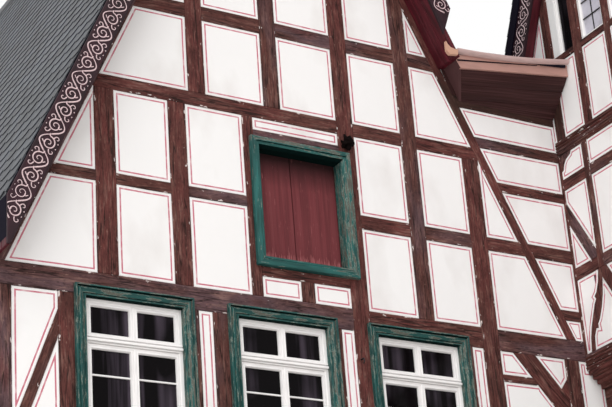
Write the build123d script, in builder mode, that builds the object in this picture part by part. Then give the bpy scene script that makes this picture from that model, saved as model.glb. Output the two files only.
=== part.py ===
"""Half timbered house of two wings at an inner corner, in millimetres with +Z up.

The front gable faces -Y, and the jettied side wing stands to its right, with its gable facing -X.
The origin is the inner corner of the two wings, at ground level.
"""

from math import cos, radians, sin, tan
import os

from build123d import *

# Walls
timber_depth = 180
infill_recess = 12
infill_thickness = 140
post_width = 200
jamb_width = 110
rail_height = 110
plinth_height = 450
plinth_thickness = 300
plinth_proud = 40
party_wall_thickness = 200
floor_thickness = 160
beam_height = 230

# Front block
front_left = -6660
front_depth = 9000
front_gable_centre = -3380
first_floor = 2750
storey_height = 2550
rafter_width = 120
king_post_width = 120
collar_height = 150
tie_height = 160
middle_rail_height = 150
high_rail_height = 140

# Levels in the front gable and the link, measured up from the attic floor
middle_rail_rise = 1040
collar_rise = 2080
tie_rise = 3080
high_rail_rises = (4690, 5630)
link_rails = ((220, 335), (1606, 1717), (2100, 2220), (2550, 2750))
link_eave_rise = 3150
link_soffit_rise_at_wall = 2620
link_soffit_rise_at_fascia = 3000
hatch_rail_low = (215, 315)
hatch_rail_high = (1680, 1790)
knob_rise = 1830
verge_tip_rise = 3190
verge_flare_rise = 3600
verge_top_rise = 3610

# Posts of the front wall, as left and right edges
post_a = (-2900, -2700)
post_b = (-2107, -1915)
post_c = (-1337, -1126)
corner_stud = (-293, -107)
hatch_post = (-4020, -3900)
hatch_stud = (-3470, -3320)
tie_posts = ((-3750, -3560), (-4605, -4415))
end_post_width = 180

# Foot braces under each window head of the front wall
brace_top = (-960, -681)
brace_knee = (-385, -340)
brace_foot_low = 790
brace_foot_high = 220
thin_rail_drop = 255
thin_rail_height = 75
thin_rail_right = -700
end_brace_drop = 170
end_brace_fall = 1130
end_brace_height = 260

# Link between the two gables
link_roof_thickness = 100
link_roof_pitch = 20
link_box_lap = 39
link_box_reach = 360
link_box_reach_left = 241
link_fascia_fall = 140
link_gutter_fall = 116
link_gutter_left = -1460
link_board_thickness = 30
link_soffit_thickness = 28
link_gutter_height = 55
link_gutter_width = 75
link_gutter_overhang = 60
link_gutter_wall = 10

# Side wing, whose wall is measured from the inner corner towards -Y
wing_north = 860
wing_centre = -2100
wing_length = 6000
jetty = 200
wing_eaves = 10200
wing_top_storey = 2500
wing_beam_height = 180
wing_rails = ((840, 980), (1900, 2030))
wing_corner_post = (-160, 20)
wing_mann_post = (400, 490)
wing_storey_posts = ((980, 1100), (2040, 2160))
wing_gable_posts = ((20, 160), (510, 640), (1040, 1130), (1530, 1650))
wing_high_posts = ((1480, 1600), (2040, 2160))
wing_sill_rise = 980
wing_sill_height = 80
wing_head_rise = 2100
wing_head_height = 130
wing_high_rail = (4000, 4130)
wing_small_windows = ((280, 510), (640, 1040), (1130, 1530))
wing_cross_half = 60
mann_brace_top = 1744
mann_brace_head = 242
mann_brace_knee = (300, 440)
mann_brace_foot = (825, 979)
lower_wing_corner = 280
lower_wing_first_window = 960
lower_wing_plate_height = 300
jetty_moulding_height = 190
jetty_moulding_steps = 4

# Windows and attic posts of the plain walls
south_windows = (1800, 4100)
north_windows = (-4500, -1700)
court_windows = (2400, 4900, 7400)
rear_attic_post = (1400, 1560)
rear_high_post = (2600, 2760)

# Roofs
roof_pitch = 65
eaves_setback = 100
front_roof_thickness = 200
wing_roof_thickness = 300
front_verge = 330
wing_verge = 120
rear_verge = 250
eaves_reach = 400
eaves_drop = 170
eaves_thickness = 110
eaves_kick = 350
verge_plank_half = 30
scroll_board_thickness = 30
scroll_board_height = 230
front_board_rise = -30
wing_board_rise = -40
verge_plank_drop = 180
wing_roofing_lap = 45
verge_tip_out = -68
verge_top_out = 283
ridge_cap_half = 120
ridge_cap_height = 90

# Windows, doors and hatch
window_pitch = 1568
first_window = -2144
opening_half = 556
window_height = 1360
casing_half = 605
casing_light_half = 490
casing_head_lining = 20
casing_sill_lining = 66
casing_flange_up = 90
casing_flange_down = 50
casing_proud = 45
casing_depth = 150
frame_setback = 30
frame_depth = 60
frame_bar = 95
mullion_width = 100
transom_drop = 370
transom_height = 150
glass_thickness = 6
glass_margin = 30
small_frame_bar = 45
door_threshold = 150
door_head = 2300
door_thickness = 60
door_frame_bar = 70
hatch_outer = (-3960, -2800, 330, 1700)
hatch_light = (-3856, -2920, 410, 1605)
hatch_proud = 60
hatch_leaf_joint = -3440
hatch_leaf_gap = 8
hatch_leaf_setback = 105
hatch_leaf_thickness = 45
knob_x = -2815
knob_radius = 65
knob_length = 110

slope = tan(radians(roof_pitch))
slant = 1 / cos(radians(roof_pitch))
sideways = 1 / sin(radians(roof_pitch))
third_floor = first_floor + 2 * storey_height
front_floors = [first_floor + storey * storey_height for storey in range(3)]
front_heads = [floor - beam_height for floor in front_floors]
front_foot = -eaves_setback
front_half = front_foot - front_gable_centre
front_apex = third_floor + front_half * slope
middle_rail_level = third_floor + middle_rail_rise
collar_level = third_floor + collar_rise
tie_level = third_floor + tie_rise
high_rail_levels = [third_floor + rise for rise in high_rail_rises]
king_post_foot = high_rail_levels[1]
link_eave_level = third_floor + link_eave_rise
link_left = front_foot - link_eave_rise / slope
wing_lower_top = wing_eaves - wing_top_storey
wing_floors = [wing_lower_top - storey * storey_height for storey in (2, 1, 0)] + [wing_eaves]
wing_heads = [floor - wing_beam_height for floor in wing_floors]
wing_south = 2 * wing_centre - wing_north
wing_start = -wing_north
wing_end = -wing_south
wing_middle = -wing_centre
wing_half = wing_middle - wing_start - eaves_setback
wing_apex = wing_eaves + wing_half * slope
wing_jetty_foot = wing_lower_top - wing_beam_height
wing_rail_spans = [(wing_lower_top + low, wing_lower_top + high) for low, high in wing_rails]
wing_sill_level = wing_eaves + wing_sill_rise
wing_head_level = wing_eaves + wing_head_rise
side_inner = wing_north - timber_depth

front_plane = Plane((0, 0, 0), x_dir=(1, 0, 0), z_dir=(0, -1, 0))
rear_plane = Plane((0, front_depth, 0), x_dir=(-1, 0, 0), z_dir=(0, 1, 0))
court_plane = Plane((0, 0, 0), x_dir=(0, 1, 0), z_dir=(1, 0, 0))
wing_plane = Plane((0, 0, 0), x_dir=(0, -1, 0), z_dir=(-1, 0, 0))
lower_wing_plane = Plane((jetty, 0, 0), x_dir=(0, -1, 0), z_dir=(-1, 0, 0))
wing_south_plane = Plane((0, wing_south, 0), x_dir=(1, 0, 0), z_dir=(0, -1, 0))
wing_north_plane = Plane((0, wing_north, 0), x_dir=(-1, 0, 0), z_dir=(0, 1, 0))


def bar(left, right, low, high):
    """Corners of an upright rectangle in a wall's elevation."""
    return [(left, low), (right, low), (right, high), (left, high)]


def shifted(outline, across, up):
    """The same outline moved within its plane."""
    return [(x + across, z + up) for x, z in outline]


def mirrored(shapes, centre):
    """The shapes, with their mirror images about an upright line."""
    return list(shapes) + [[(2 * centre - x, z) for x, z in shape] for shape in shapes]


def mirrored_spans(spans, centre):
    """Left and right edges, with their mirror images about a centre."""
    return list(spans) + [(2 * centre - right, 2 * centre - left) for left, right in spans]


def rafters(left_foot, right_foot, level, apex):
    """The two sloping timbers of a gable, parted by its king post."""
    middle = (left_foot + right_foot) / 2
    top = apex - king_post_width / 2 * slope
    inner = top - rafter_width * slope
    half = king_post_width / 2
    return [
        [
            (left_foot, level),
            (left_foot + rafter_width, level),
            (middle - half, inner),
            (middle - half, top),
        ],
        [
            (right_foot, level),
            (right_foot - rafter_width, level),
            (middle + half, inner),
            (middle + half, top),
        ],
    ]


def bay_posts(centres, low, high):
    """A post on the left and a jamb on the right of each window."""
    posts = []
    for centre in centres:
        left = centre - opening_half
        right = centre + opening_half
        posts.append(bar(left - post_width, left, low, high))
        posts.append(bar(right, right + jamb_width, low, high))
    return posts


def lights(centres, heads):
    """Window openings under each head level."""
    return [
        bar(centre - opening_half, centre + opening_half, head - window_height, head)
        for head in heads
        for centre in centres
    ]


def sills(centres, heads):
    """The rail under each window opening."""
    return [
        bar(
            centre - opening_half,
            centre + opening_half,
            head - window_height - rail_height,
            head - window_height,
        )
        for head in heads
        for centre in centres
    ]


def draw(shapes, mode=Mode.ADD):
    """Draws each outline, a list of corners, into the open sketch."""
    for corners in shapes:
        Polygon(*corners, align=None, mode=mode)


def wall_faces(plane, outline, shapes, cuts=(), through=(), recess=0):
    """The shapes of one wall within its outline, less the cuts, with the through ones left whole."""
    with BuildSketch(plane.offset(-recess)) as faces:
        draw(shapes)
        if cuts:
            draw(cuts, Mode.SUBTRACT)
        draw(through)
        draw([outline], Mode.INTERSECT)
    return faces.sketch


# Front wall
front_outline = [
    (front_left, plinth_height),
    (jetty, plinth_height),
    (jetty, wing_jetty_foot),
    (0, wing_jetty_foot),
    (0, link_eave_level),
    (link_left, link_eave_level),
    (front_gable_centre, front_apex),
    (front_left, third_floor),
]
front_windows = [first_window - bay * window_pitch for bay in range(3)]
door_centre = front_windows[1]
door_opening = bar(
    door_centre - opening_half, door_centre + opening_half, plinth_height, door_head
)
hatch_opening = shifted(
    bar(hatch_post[1], post_a[0], hatch_rail_low[1], hatch_rail_high[0]), 0, third_floor
)
front_lights = lights(front_windows, front_heads[1:])
front_lights += lights([front_windows[0], front_windows[2]], front_heads[:1])
front_rafters = rafters(front_left, front_foot, third_floor, front_apex)
front_beams = [
    bar(front_left, jetty, floor - beam_height, floor) for floor in front_floors
]
front_beams += [
    bar(front_left, post_b[0], collar_level - collar_height, collar_level),
    bar(post_b[1], 0, collar_level - collar_height, collar_level),
]
right_of_rafter = [
    (front_foot, third_floor),
    (0, third_floor),
    (0, link_eave_level),
    (link_left, link_eave_level),
]
front_tall_posts = [
    bar(*post_a, plinth_height, front_apex),
    bar(*post_c, plinth_height, collar_level - collar_height),
]
front_short_posts = bay_posts(front_windows, plinth_height, third_floor)
front_short_posts += [
    bar(*corner_stud, plinth_height, third_floor),
    bar(front_left, front_left + end_post_width, plinth_height, third_floor),
    bar(*hatch_post, third_floor, collar_level),
    bar(*hatch_stud, third_floor, third_floor + hatch_rail_low[0]),
]
front_short_posts += [
    bar(*span, third_floor, collar_level)
    for span in mirrored_spans([post_b, post_c], front_gable_centre)[2:]
]
front_short_posts += [bar(*span, collar_level, front_apex) for span in tie_posts]
front_gable_posts = [
    bar(*post_b, third_floor, front_apex),
    bar(
        front_gable_centre - king_post_width / 2,
        front_gable_centre + king_post_width / 2,
        king_post_foot,
        front_apex,
    ),
]
front_rails = [
    bar(front_left, link_left, tie_level - tie_height, tie_level),
    bar(front_left, hatch_post[0], middle_rail_level - rail_height, middle_rail_level),
    bar(post_a[1], 0, middle_rail_level - middle_rail_height, middle_rail_level),
]
front_rails += [
    shifted(bar(hatch_post[1], post_a[0], *span), 0, third_floor)
    for span in (hatch_rail_low, hatch_rail_high)
]
front_rails += [
    bar(front_left, 0, level - high_rail_height, level) for level in high_rail_levels
]
front_rails += sills(front_windows, front_heads[1:])
front_rails += sills([front_windows[0], front_windows[2]], front_heads[:1])
front_rails.append(
    bar(door_centre - opening_half, door_centre + opening_half, door_head, door_head + rail_height)
)
front_rails += [
    bar(post_c[1], thin_rail_right, head - thin_rail_drop - thin_rail_height, head - thin_rail_drop)
    for head in front_heads
]
front_link_rails = [shifted(bar(link_left, 0, *span), 0, third_floor) for span in link_rails]
window_post_left = front_windows[2] - opening_half - post_width
corner_brace = [
    (brace_top[0], 0),
    (brace_top[1], 0),
    brace_knee,
    (corner_stud[0], -brace_foot_high),
    (corner_stud[0], -brace_foot_low),
]
end_brace = [
    (front_left + end_post_width, -end_brace_drop - end_brace_fall),
    (window_post_left, -end_brace_drop),
    (window_post_left, -end_brace_drop - end_brace_height),
    (front_left + end_post_width, -end_brace_drop - end_brace_fall - end_brace_height),
]
front_braces = [
    shifted(brace, 0, head) for head in front_heads for brace in (corner_brace, end_brace)
]
front_posts = front_tall_posts + front_short_posts + front_gable_posts
front_timbers = front_beams + front_posts + front_rails + front_braces + front_rafters

front_gable_outline = [
    *front_outline[:4],
    (0, third_floor),
    (front_foot, third_floor),
    *front_outline[6:],
]

with BuildPart() as front_wall_posts:
    tall = wall_faces(
        front_plane,
        front_outline,
        front_tall_posts + front_gable_posts,
        cuts=front_rafters,
    )
    short = wall_faces(
        front_plane,
        front_gable_outline,
        front_short_posts,
        cuts=front_beams + front_rafters + front_lights + [hatch_opening, door_opening],
    )
    extrude(tall, amount=-timber_depth)
    extrude(short, amount=-timber_depth)

with BuildPart() as front_wall_beams:
    extrude(
        wall_faces(
            front_plane,
            front_gable_outline,
            front_beams,
            cuts=front_tall_posts + front_gable_posts + front_rafters,
        ),
        amount=-timber_depth,
    )

with BuildPart() as front_wall_rails:
    extrude(
        wall_faces(
            front_plane,
            front_outline,
            front_rails,
            cuts=front_beams + front_posts + front_rafters + front_braces,
        ),
        amount=-timber_depth,
    )

with BuildPart() as link_wall_rails:
    extrude(
        wall_faces(front_plane, right_of_rafter, front_link_rails, cuts=front_rafters),
        amount=-timber_depth,
    )

with BuildPart() as front_wall_braces:
    extrude(
        wall_faces(
            front_plane, front_outline, front_braces, cuts=front_beams + front_posts
        ),
        amount=-timber_depth,
    )

with BuildPart() as front_wall_infill:
    gable_panels = wall_faces(
        front_plane,
        front_gable_outline,
        [front_gable_outline],
        cuts=front_timbers + front_lights + [hatch_opening, door_opening],
        recess=infill_recess,
    )
    link_panels = wall_faces(
        front_plane,
        right_of_rafter,
        [right_of_rafter],
        cuts=front_link_rails + front_rails + front_rafters,
        recess=infill_recess,
    )
    extrude(gable_panels, amount=-infill_thickness)
    extrude(link_panels, amount=-infill_thickness)

# Gable wall of the side wing, jettied over its lower storeys
wing_outline = [
    (wing_start, wing_jetty_foot),
    (wing_end, wing_jetty_foot),
    (wing_end, wing_eaves),
    (wing_end - eaves_setback, wing_eaves),
    (wing_middle, wing_apex),
    (wing_start + eaves_setback, wing_eaves),
    (wing_start, wing_eaves),
]
lower_wing_start = -timber_depth
lower_wing_outline = bar(lower_wing_start, wing_end, plinth_height, wing_jetty_foot)
wing_band = (wing_start, wing_end)
wing_beams = [bar(*wing_band, floor - wing_beam_height, floor) for floor in wing_floors[2:]]
wing_beams.append(bar(*wing_band, wing_head_level, wing_head_level + wing_head_height))
lower_wing_heads = [*wing_heads[:2], wing_jetty_foot - lower_wing_plate_height]
lower_wing_beams = [
    bar(lower_wing_start, wing_end, head, head + wing_beam_height) for head in wing_heads[:2]
]
lower_wing_beams.append(bar(lower_wing_start, wing_end, lower_wing_heads[2], wing_jetty_foot))
wing_posts = [
    bar(*span, wing_lower_top, wing_eaves)
    for span in mirrored_spans([wing_corner_post, wing_storey_posts[0]], wing_middle)
]
wing_posts += [
    bar(*span, wing_rail_spans[0][0], wing_eaves)
    for span in mirrored_spans([wing_mann_post], wing_middle)
]
wing_posts += [
    bar(*wing_storey_posts[1], wing_lower_top, wing_eaves),
    bar(wing_start, wing_start + end_post_width, wing_lower_top, wing_eaves),
]
wing_posts += [
    bar(*span, wing_eaves, wing_head_level)
    for span in mirrored_spans(wing_gable_posts, wing_middle)
]
wing_posts += [
    bar(*span, wing_head_level, wing_eaves + wing_high_rail[0])
    for span in mirrored_spans(wing_high_posts[:1], wing_middle)
]
wing_posts.append(bar(*wing_high_posts[1], wing_head_level, wing_apex))
wing_rail_bars = [bar(*wing_band, *span) for span in wing_rail_spans]
wing_rail_bars += [
    bar(*wing_band, wing_sill_level - wing_sill_height, wing_sill_level),
    shifted(bar(*wing_band, *wing_high_rail), 0, wing_eaves),
]
mann_brace = [
    (wing_corner_post[1], mann_brace_top),
    (wing_corner_post[1], mann_brace_top - mann_brace_head),
    (mann_brace_knee[0], wing_rails[0][1]),
    (mann_brace_foot[0], 0),
    (mann_brace_foot[1], 0),
    (mann_brace_knee[1], wing_rails[0][1]),
]
notched_brace = [
    (100, 0),
    (120, 150),
    (150, 260),
    (200, 380),
    (250, 490),
    (285, 535),
    (265, 570),
    (300, 600),
    (350, 700),
    (385, 840),
    (440, 840),
    (420, 700),
    (390, 550),
    (345, 420),
    (290, 310),
    (250, 265),
    (255, 220),
    (215, 230),
    (175, 150),
    (160, 0),
]
head_bracket = [(0, 0), (190, 0), (170, -35), (90, -70), (50, -120), (30, -180), (0, -190)]
corner_figure = [
    shifted(mann_brace, 0, wing_lower_top),
    shifted(notched_brace, 0, wing_lower_top),
    shifted(head_bracket, wing_corner_post[1], wing_heads[3]),
]
cross_left = wing_gable_posts[3][1]
cross_right = 2 * wing_middle - cross_left
cross_top = wing_sill_level - wing_sill_height
cross = [
    [
        (cross_left, wing_eaves),
        (cross_left + 2 * wing_cross_half, wing_eaves),
        (cross_right, cross_top),
        (cross_right - 2 * wing_cross_half, cross_top),
    ],
    [
        (cross_right, wing_eaves),
        (cross_right - 2 * wing_cross_half, wing_eaves),
        (cross_left, cross_top),
        (cross_left + 2 * wing_cross_half, cross_top),
    ],
]
wing_braces = mirrored(corner_figure, wing_middle) + cross
wing_lights = [
    bar(left, right, wing_sill_level, wing_head_level)
    for left, right in mirrored_spans(wing_small_windows, wing_middle)
]
wing_storey_light_spans = mirrored_spans(
    [(wing_storey_posts[0][1], wing_storey_posts[1][0])], wing_middle
)
wing_storey_lights = [
    bar(*span, wing_rail_spans[0][1], wing_rail_spans[1][0]) for span in wing_storey_light_spans
]
lower_wing_windows = [lower_wing_first_window + bay * window_pitch for bay in range(3)]
lower_wing_posts = bay_posts(lower_wing_windows, plinth_height, wing_jetty_foot)
lower_wing_posts += [
    bar(lower_wing_start, lower_wing_start + lower_wing_corner, plinth_height, wing_jetty_foot),
    bar(wing_end - end_post_width, wing_end, plinth_height, wing_jetty_foot),
]
lower_wing_lights = lights(lower_wing_windows, lower_wing_heads)
lower_wing_sills = sills(lower_wing_windows, lower_wing_heads)

with BuildPart() as wing_wall_posts:
    upper = wall_faces(wing_plane, wing_outline, wing_posts, cuts=wing_beams)
    lower = wall_faces(
        lower_wing_plane, lower_wing_outline, lower_wing_posts, cuts=lower_wing_beams
    )
    extrude(upper, amount=-timber_depth)
    extrude(lower, amount=-timber_depth)

with BuildPart() as wing_wall_beams:
    extrude(wall_faces(wing_plane, wing_outline, wing_beams), amount=-timber_depth)
    extrude(
        wall_faces(lower_wing_plane, lower_wing_outline, lower_wing_beams),
        amount=-timber_depth,
    )

with BuildPart() as wing_wall_rails:
    upper = wall_faces(
        wing_plane, wing_outline, wing_rail_bars, cuts=wing_posts + wing_beams + wing_lights
    )
    lower = wall_faces(
        lower_wing_plane,
        lower_wing_outline,
        lower_wing_sills,
        cuts=lower_wing_posts,
    )
    extrude(upper, amount=-timber_depth)
    extrude(lower, amount=-timber_depth)

with BuildPart() as wing_wall_braces:
    extrude(
        wall_faces(
            wing_plane,
            wing_outline,
            wing_braces,
            cuts=wing_posts + wing_beams + wing_rail_bars,
        ),
        amount=-timber_depth,
    )

with BuildPart() as wing_wall_infill:
    upper = wall_faces(
        wing_plane,
        wing_outline,
        [wing_outline],
        cuts=wing_posts
        + wing_beams
        + wing_rail_bars
        + wing_braces
        + wing_lights
        + wing_storey_lights,
        recess=infill_recess,
    )
    lower = wall_faces(
        lower_wing_plane,
        lower_wing_outline,
        [lower_wing_outline],
        cuts=lower_wing_posts + lower_wing_beams + lower_wing_sills + lower_wing_lights,
        recess=infill_recess,
    )
    extrude(upper, amount=-infill_thickness)
    extrude(lower, amount=-infill_thickness)

step = jetty / jetty_moulding_steps
drop = jetty_moulding_height / jetty_moulding_steps
moulding_profile = [(jetty, wing_jetty_foot)]
for index in range(jetty_moulding_steps):
    moulding_profile.append((index * step, wing_jetty_foot - index * drop))
    moulding_profile.append((index * step, wing_jetty_foot - (index + 1) * drop))
moulding_profile.append((jetty, wing_jetty_foot - jetty_moulding_height))
with BuildPart() as jetty_moulding:
    with BuildSketch(wing_south_plane):
        draw([moulding_profile])
    extrude(amount=wing_south)

# Side and rear walls, which repeat the storeys and windows
south_start = jetty + timber_depth
wing_side_outline = [
    (south_start, plinth_height),
    (wing_length, plinth_height),
    (wing_length, wing_eaves),
    (timber_depth, wing_eaves),
    (timber_depth, wing_jetty_foot),
    (south_start, wing_jetty_foot),
]
north_outline = [
    (0, plinth_height),
    (0, wing_jetty_foot),
    (-timber_depth, wing_jetty_foot),
    (-timber_depth, wing_eaves),
    (-wing_length, wing_eaves),
    (-wing_length, plinth_height),
]
court_outline = bar(side_inner, front_depth - timber_depth, plinth_height, third_floor)
rear_middle = -front_gable_centre
rear_left_foot = -front_foot
rear_outline = [
    (0, plinth_height),
    (-front_left, plinth_height),
    (-front_left, third_floor),
    (rear_middle, front_apex),
    (rear_left_foot, third_floor),
    (0, third_floor),
]
rear_rafters = rafters(rear_left_foot, -front_left, third_floor, front_apex)
rear_windows = [rear_middle + bay * window_pitch for bay in (-1, 0, 1)]
wing_side_beams = [
    bar(-wing_length, wing_length, floor - wing_beam_height, floor) for floor in wing_floors
]
court_beams = [
    bar(side_inner + end_post_width, front_depth, floor - beam_height, floor)
    for floor in front_floors
]
rear_beams = [
    bar(end_post_width, -front_left - end_post_width, floor - beam_height, floor)
    for floor in front_floors
]
rear_attic_head = collar_level - collar_height
rear_beams.append(bar(0, -front_left, rear_attic_head, collar_level))
rear_beams += [
    bar(0, -front_left, level - high_rail_height, level) for level in high_rail_levels
]
wing_side_end = bar(wing_length - end_post_width, wing_length, plinth_height, wing_eaves)
south_posts = bay_posts(south_windows, plinth_height, wing_eaves) + [wing_side_end]
north_posts = bay_posts(north_windows, plinth_height, wing_eaves)
north_posts.append(bar(-wing_length, end_post_width - wing_length, plinth_height, wing_eaves))
court_posts = bay_posts(court_windows, plinth_height, third_floor)
court_corner = bar(side_inner, side_inner + end_post_width, plinth_height, third_floor)
rear_posts = bay_posts(rear_windows, plinth_height, third_floor)
rear_posts += bay_posts([rear_middle], third_floor, rear_attic_head)
rear_posts += [
    bar(*span, third_floor, collar_level)
    for span in mirrored_spans([rear_attic_post], rear_middle)
]
rear_posts += [
    bar(*span, collar_level, high_rail_levels[0])
    for span in mirrored_spans([rear_high_post], rear_middle)
]
rear_corners = [
    bar(0, end_post_width, plinth_height, third_floor),
    bar(-front_left - end_post_width, -front_left, plinth_height, third_floor),
]
rear_king_post = bar(
    rear_middle - king_post_width / 2,
    rear_middle + king_post_width / 2,
    king_post_foot,
    front_apex,
)
south_lights = lights(south_windows, wing_heads)
north_lights = lights(north_windows, wing_heads)
court_lights = lights(court_windows, front_heads)
rear_lights = lights(rear_windows, front_heads) + lights([rear_middle], [rear_attic_head])
south_sills = sills(south_windows, wing_heads)
north_sills = sills(north_windows, wing_heads)
court_sills = sills(court_windows, front_heads)
rear_sills = sills(rear_windows, front_heads) + sills([rear_middle], [rear_attic_head])

# Each side wall: its plane, outline, beams, posts, sill rails, lights and the rafters over it
side_walls = [
    (
        wing_south_plane,
        wing_side_outline,
        wing_side_beams,
        south_posts,
        [],
        south_sills,
        south_lights,
        [],
    ),
    (
        wing_north_plane,
        north_outline,
        wing_side_beams,
        north_posts,
        [],
        north_sills,
        north_lights,
        [],
    ),
    (
        court_plane,
        court_outline,
        court_beams,
        court_posts,
        [court_corner],
        court_sills,
        court_lights,
        [],
    ),
    (
        rear_plane,
        rear_outline,
        rear_beams,
        rear_posts,
        [*rear_corners, rear_king_post],
        rear_sills,
        rear_lights,
        rear_rafters,
    ),
]

with BuildPart() as side_wall_beams:
    for plane, outline, beams, posts, tall, sill_bars, light_bars, sloping in side_walls:
        extrude(wall_faces(plane, outline, beams, cuts=tall + sloping), amount=-timber_depth)

with BuildPart() as side_wall_posts:
    for plane, outline, beams, posts, tall, sill_bars, light_bars, sloping in side_walls:
        faces = wall_faces(plane, outline, posts, cuts=beams + sloping, through=tall)
        extrude(faces, amount=-timber_depth)

with BuildPart() as side_wall_sills:
    for plane, outline, beams, posts, tall, sill_bars, light_bars, sloping in side_walls:
        extrude(wall_faces(plane, outline, sill_bars, cuts=posts + beams), amount=-timber_depth)

with BuildPart() as side_wall_infill:
    for plane, outline, beams, posts, tall, sill_bars, light_bars, sloping in side_walls:
        faces = wall_faces(
            plane,
            outline,
            [outline],
            cuts=beams + posts + tall + sill_bars + light_bars + sloping,
            recess=infill_recess,
        )
        extrude(faces, amount=-infill_thickness)

with BuildPart() as gable_rafters:
    for plane, sloping in ((front_plane, front_rafters), (rear_plane, rear_rafters)):
        with BuildSketch(plane):
            draw(sloping)
        extrude(amount=-timber_depth)

# Plinths, party walls and floors
inner_reach = plinth_thickness - plinth_proud


def block(left, right, near, far, low, high):
    """A plain upright block, added to the open part."""
    with Locations(((left + right) / 2, (near + far) / 2, (low + high) / 2)):
        Box(right - left, far - near, high - low)


wing_plinth_face = jetty - plinth_proud
wing_plinth_back = jetty + inner_reach
with BuildPart() as cross_plinths:
    block(front_left, wing_plinth_face, -plinth_proud, inner_reach, 0, plinth_height)
    block(
        front_left,
        plinth_proud,
        front_depth - inner_reach,
        front_depth + plinth_proud,
        0,
        plinth_height,
    )
    block(
        wing_plinth_back,
        wing_length,
        wing_south - plinth_proud,
        wing_south + inner_reach,
        0,
        plinth_height,
    )
    block(
        -inner_reach,
        wing_length,
        wing_north - inner_reach,
        wing_north + plinth_proud,
        0,
        plinth_height,
    )
    with BuildSketch(Plane.XY.offset(door_threshold)):
        with Locations((door_centre, 0)):
            Rectangle(2 * opening_half, 2 * plinth_thickness)
    extrude(amount=plinth_height, mode=Mode.SUBTRACT)

with BuildPart() as long_plinths:
    block(
        wing_plinth_face,
        wing_plinth_back,
        wing_south - plinth_proud,
        inner_reach,
        0,
        plinth_height,
    )
    block(
        -inner_reach,
        plinth_proud,
        wing_north + plinth_proud,
        front_depth - inner_reach,
        0,
        plinth_height,
    )
    block(
        front_left,
        front_left + plinth_thickness,
        inner_reach,
        front_depth - inner_reach,
        0,
        plinth_height,
    )
    block(
        wing_length - plinth_thickness,
        wing_length,
        wing_south + inner_reach,
        wing_north - inner_reach,
        0,
        plinth_height,
    )

front_inner_left = front_left + party_wall_thickness
with BuildPart() as front_party_wall:
    block(
        front_left,
        front_inner_left,
        timber_depth,
        front_depth - timber_depth,
        plinth_height,
        third_floor,
    )

wing_inner_south = wing_south + timber_depth
party_shoulder = wing_eaves + (timber_depth - eaves_setback) * slope
with BuildPart() as wing_party_wall:
    with BuildSketch(Plane.YZ.offset(wing_length - party_wall_thickness)):
        draw(
            [
                [
                    (wing_inner_south, plinth_height),
                    (side_inner, plinth_height),
                    (side_inner, party_shoulder),
                    (wing_centre, wing_apex),
                    (wing_inner_south, party_shoulder),
                ]
            ]
        )
    extrude(amount=party_wall_thickness)

with BuildPart() as front_floor_slabs:
    for floor in front_floors:
        block(
            front_inner_left,
            -timber_depth,
            timber_depth,
            front_depth - timber_depth,
            floor - floor_thickness,
            floor,
        )

with BuildPart() as wing_floor_slabs:
    for floor in wing_floors:
        block(
            timber_depth if floor >= wing_lower_top else jetty + timber_depth,
            wing_length - party_wall_thickness,
            wing_inner_south,
            side_inner,
            floor - floor_thickness,
            floor,
        )


# Roofs
def slope_point(foot, level, out, offset, z):
    """The point at height z on a line offset outwards from the rafters' top line."""
    return (foot + out * (offset * sideways - (z - level) / slope), z)


def slope_band(centre, foot, level, apex, low, high, bottom):
    """A band along one roof slope between two offsets, from the ridge down to a level cut."""
    out = 1 if foot > centre else -1
    return [
        (centre, apex + low * slant),
        (centre, apex + high * slant),
        slope_point(foot, level, out, high, bottom),
        slope_point(foot, level, out, low, bottom),
    ]


def slope_with_eaves(centre, foot, face, level, apex, thickness):
    """One roof slope in section, kicked out flatter past the wall's face."""
    out = 1 if foot > centre else -1
    edge = face + out * eaves_reach
    return [
        (centre, apex),
        (foot, level),
        (face, level),
        (edge, level - eaves_drop),
        (edge, level - eaves_drop + eaves_thickness),
        slope_point(foot, level, out, thickness, level + eaves_kick),
        (centre, apex + thickness * slant),
    ]


def elevation(y):
    """An upright plane facing the street at depth y, with X across and Z up."""
    return Plane((0, y, 0), x_dir=(1, 0, 0), z_dir=(0, -1, 0))


def cross_section(x):
    """An upright plane at x, with Y across and Z up."""
    return Plane.YZ.offset(x)


front_slope = (front_gable_centre, front_foot, third_floor, front_apex)
front_left_slope = (front_gable_centre, front_left, third_floor, front_apex)
north_foot = wing_north - eaves_setback
south_foot = wing_south + eaves_setback
north_slope = (wing_centre, north_foot, wing_eaves, wing_apex)
south_slope = (wing_centre, south_foot, wing_eaves, wing_apex)
front_section = slope_with_eaves(
    front_gable_centre, front_foot, 0, third_floor, front_apex, front_roof_thickness
)
rear_edge = front_depth + rear_verge
plank = verge_plank_half
wing_lap_rise = wing_board_rise + scroll_board_height
verge_foot_tip = (front_foot - verge_tip_rise / slope + verge_tip_out, third_floor + verge_tip_rise)
verge_foot_top = (front_foot - verge_top_rise / slope + verge_top_out, third_floor + verge_top_rise)
foot_run = (verge_foot_top[0] - verge_foot_tip[0]) / (verge_foot_top[1] - verge_foot_tip[1])
foot_edge = slope_point(front_foot, third_floor, 1, front_roof_thickness, verge_foot_tip[1])
foot_rise = (foot_edge[0] - verge_foot_tip[0]) / (foot_run + 1 / slope)
foot_corner = (verge_foot_tip[0] + foot_run * foot_rise, verge_foot_tip[1] + foot_rise)
front_verge_band = slope_band(*front_slope, plank, front_roof_thickness, foot_corner[1])
inner_edge = slope_point(front_foot, third_floor, 1, plank, verge_foot_tip[1])
inner_rise = (inner_edge[0] - verge_foot_tip[0]) / (foot_run + 1 / slope)
inner_corner = (verge_foot_tip[0] + foot_run * inner_rise, verge_foot_tip[1] + inner_rise)
front_verge_section = [*front_verge_band[:2], foot_corner, inner_corner]

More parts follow.
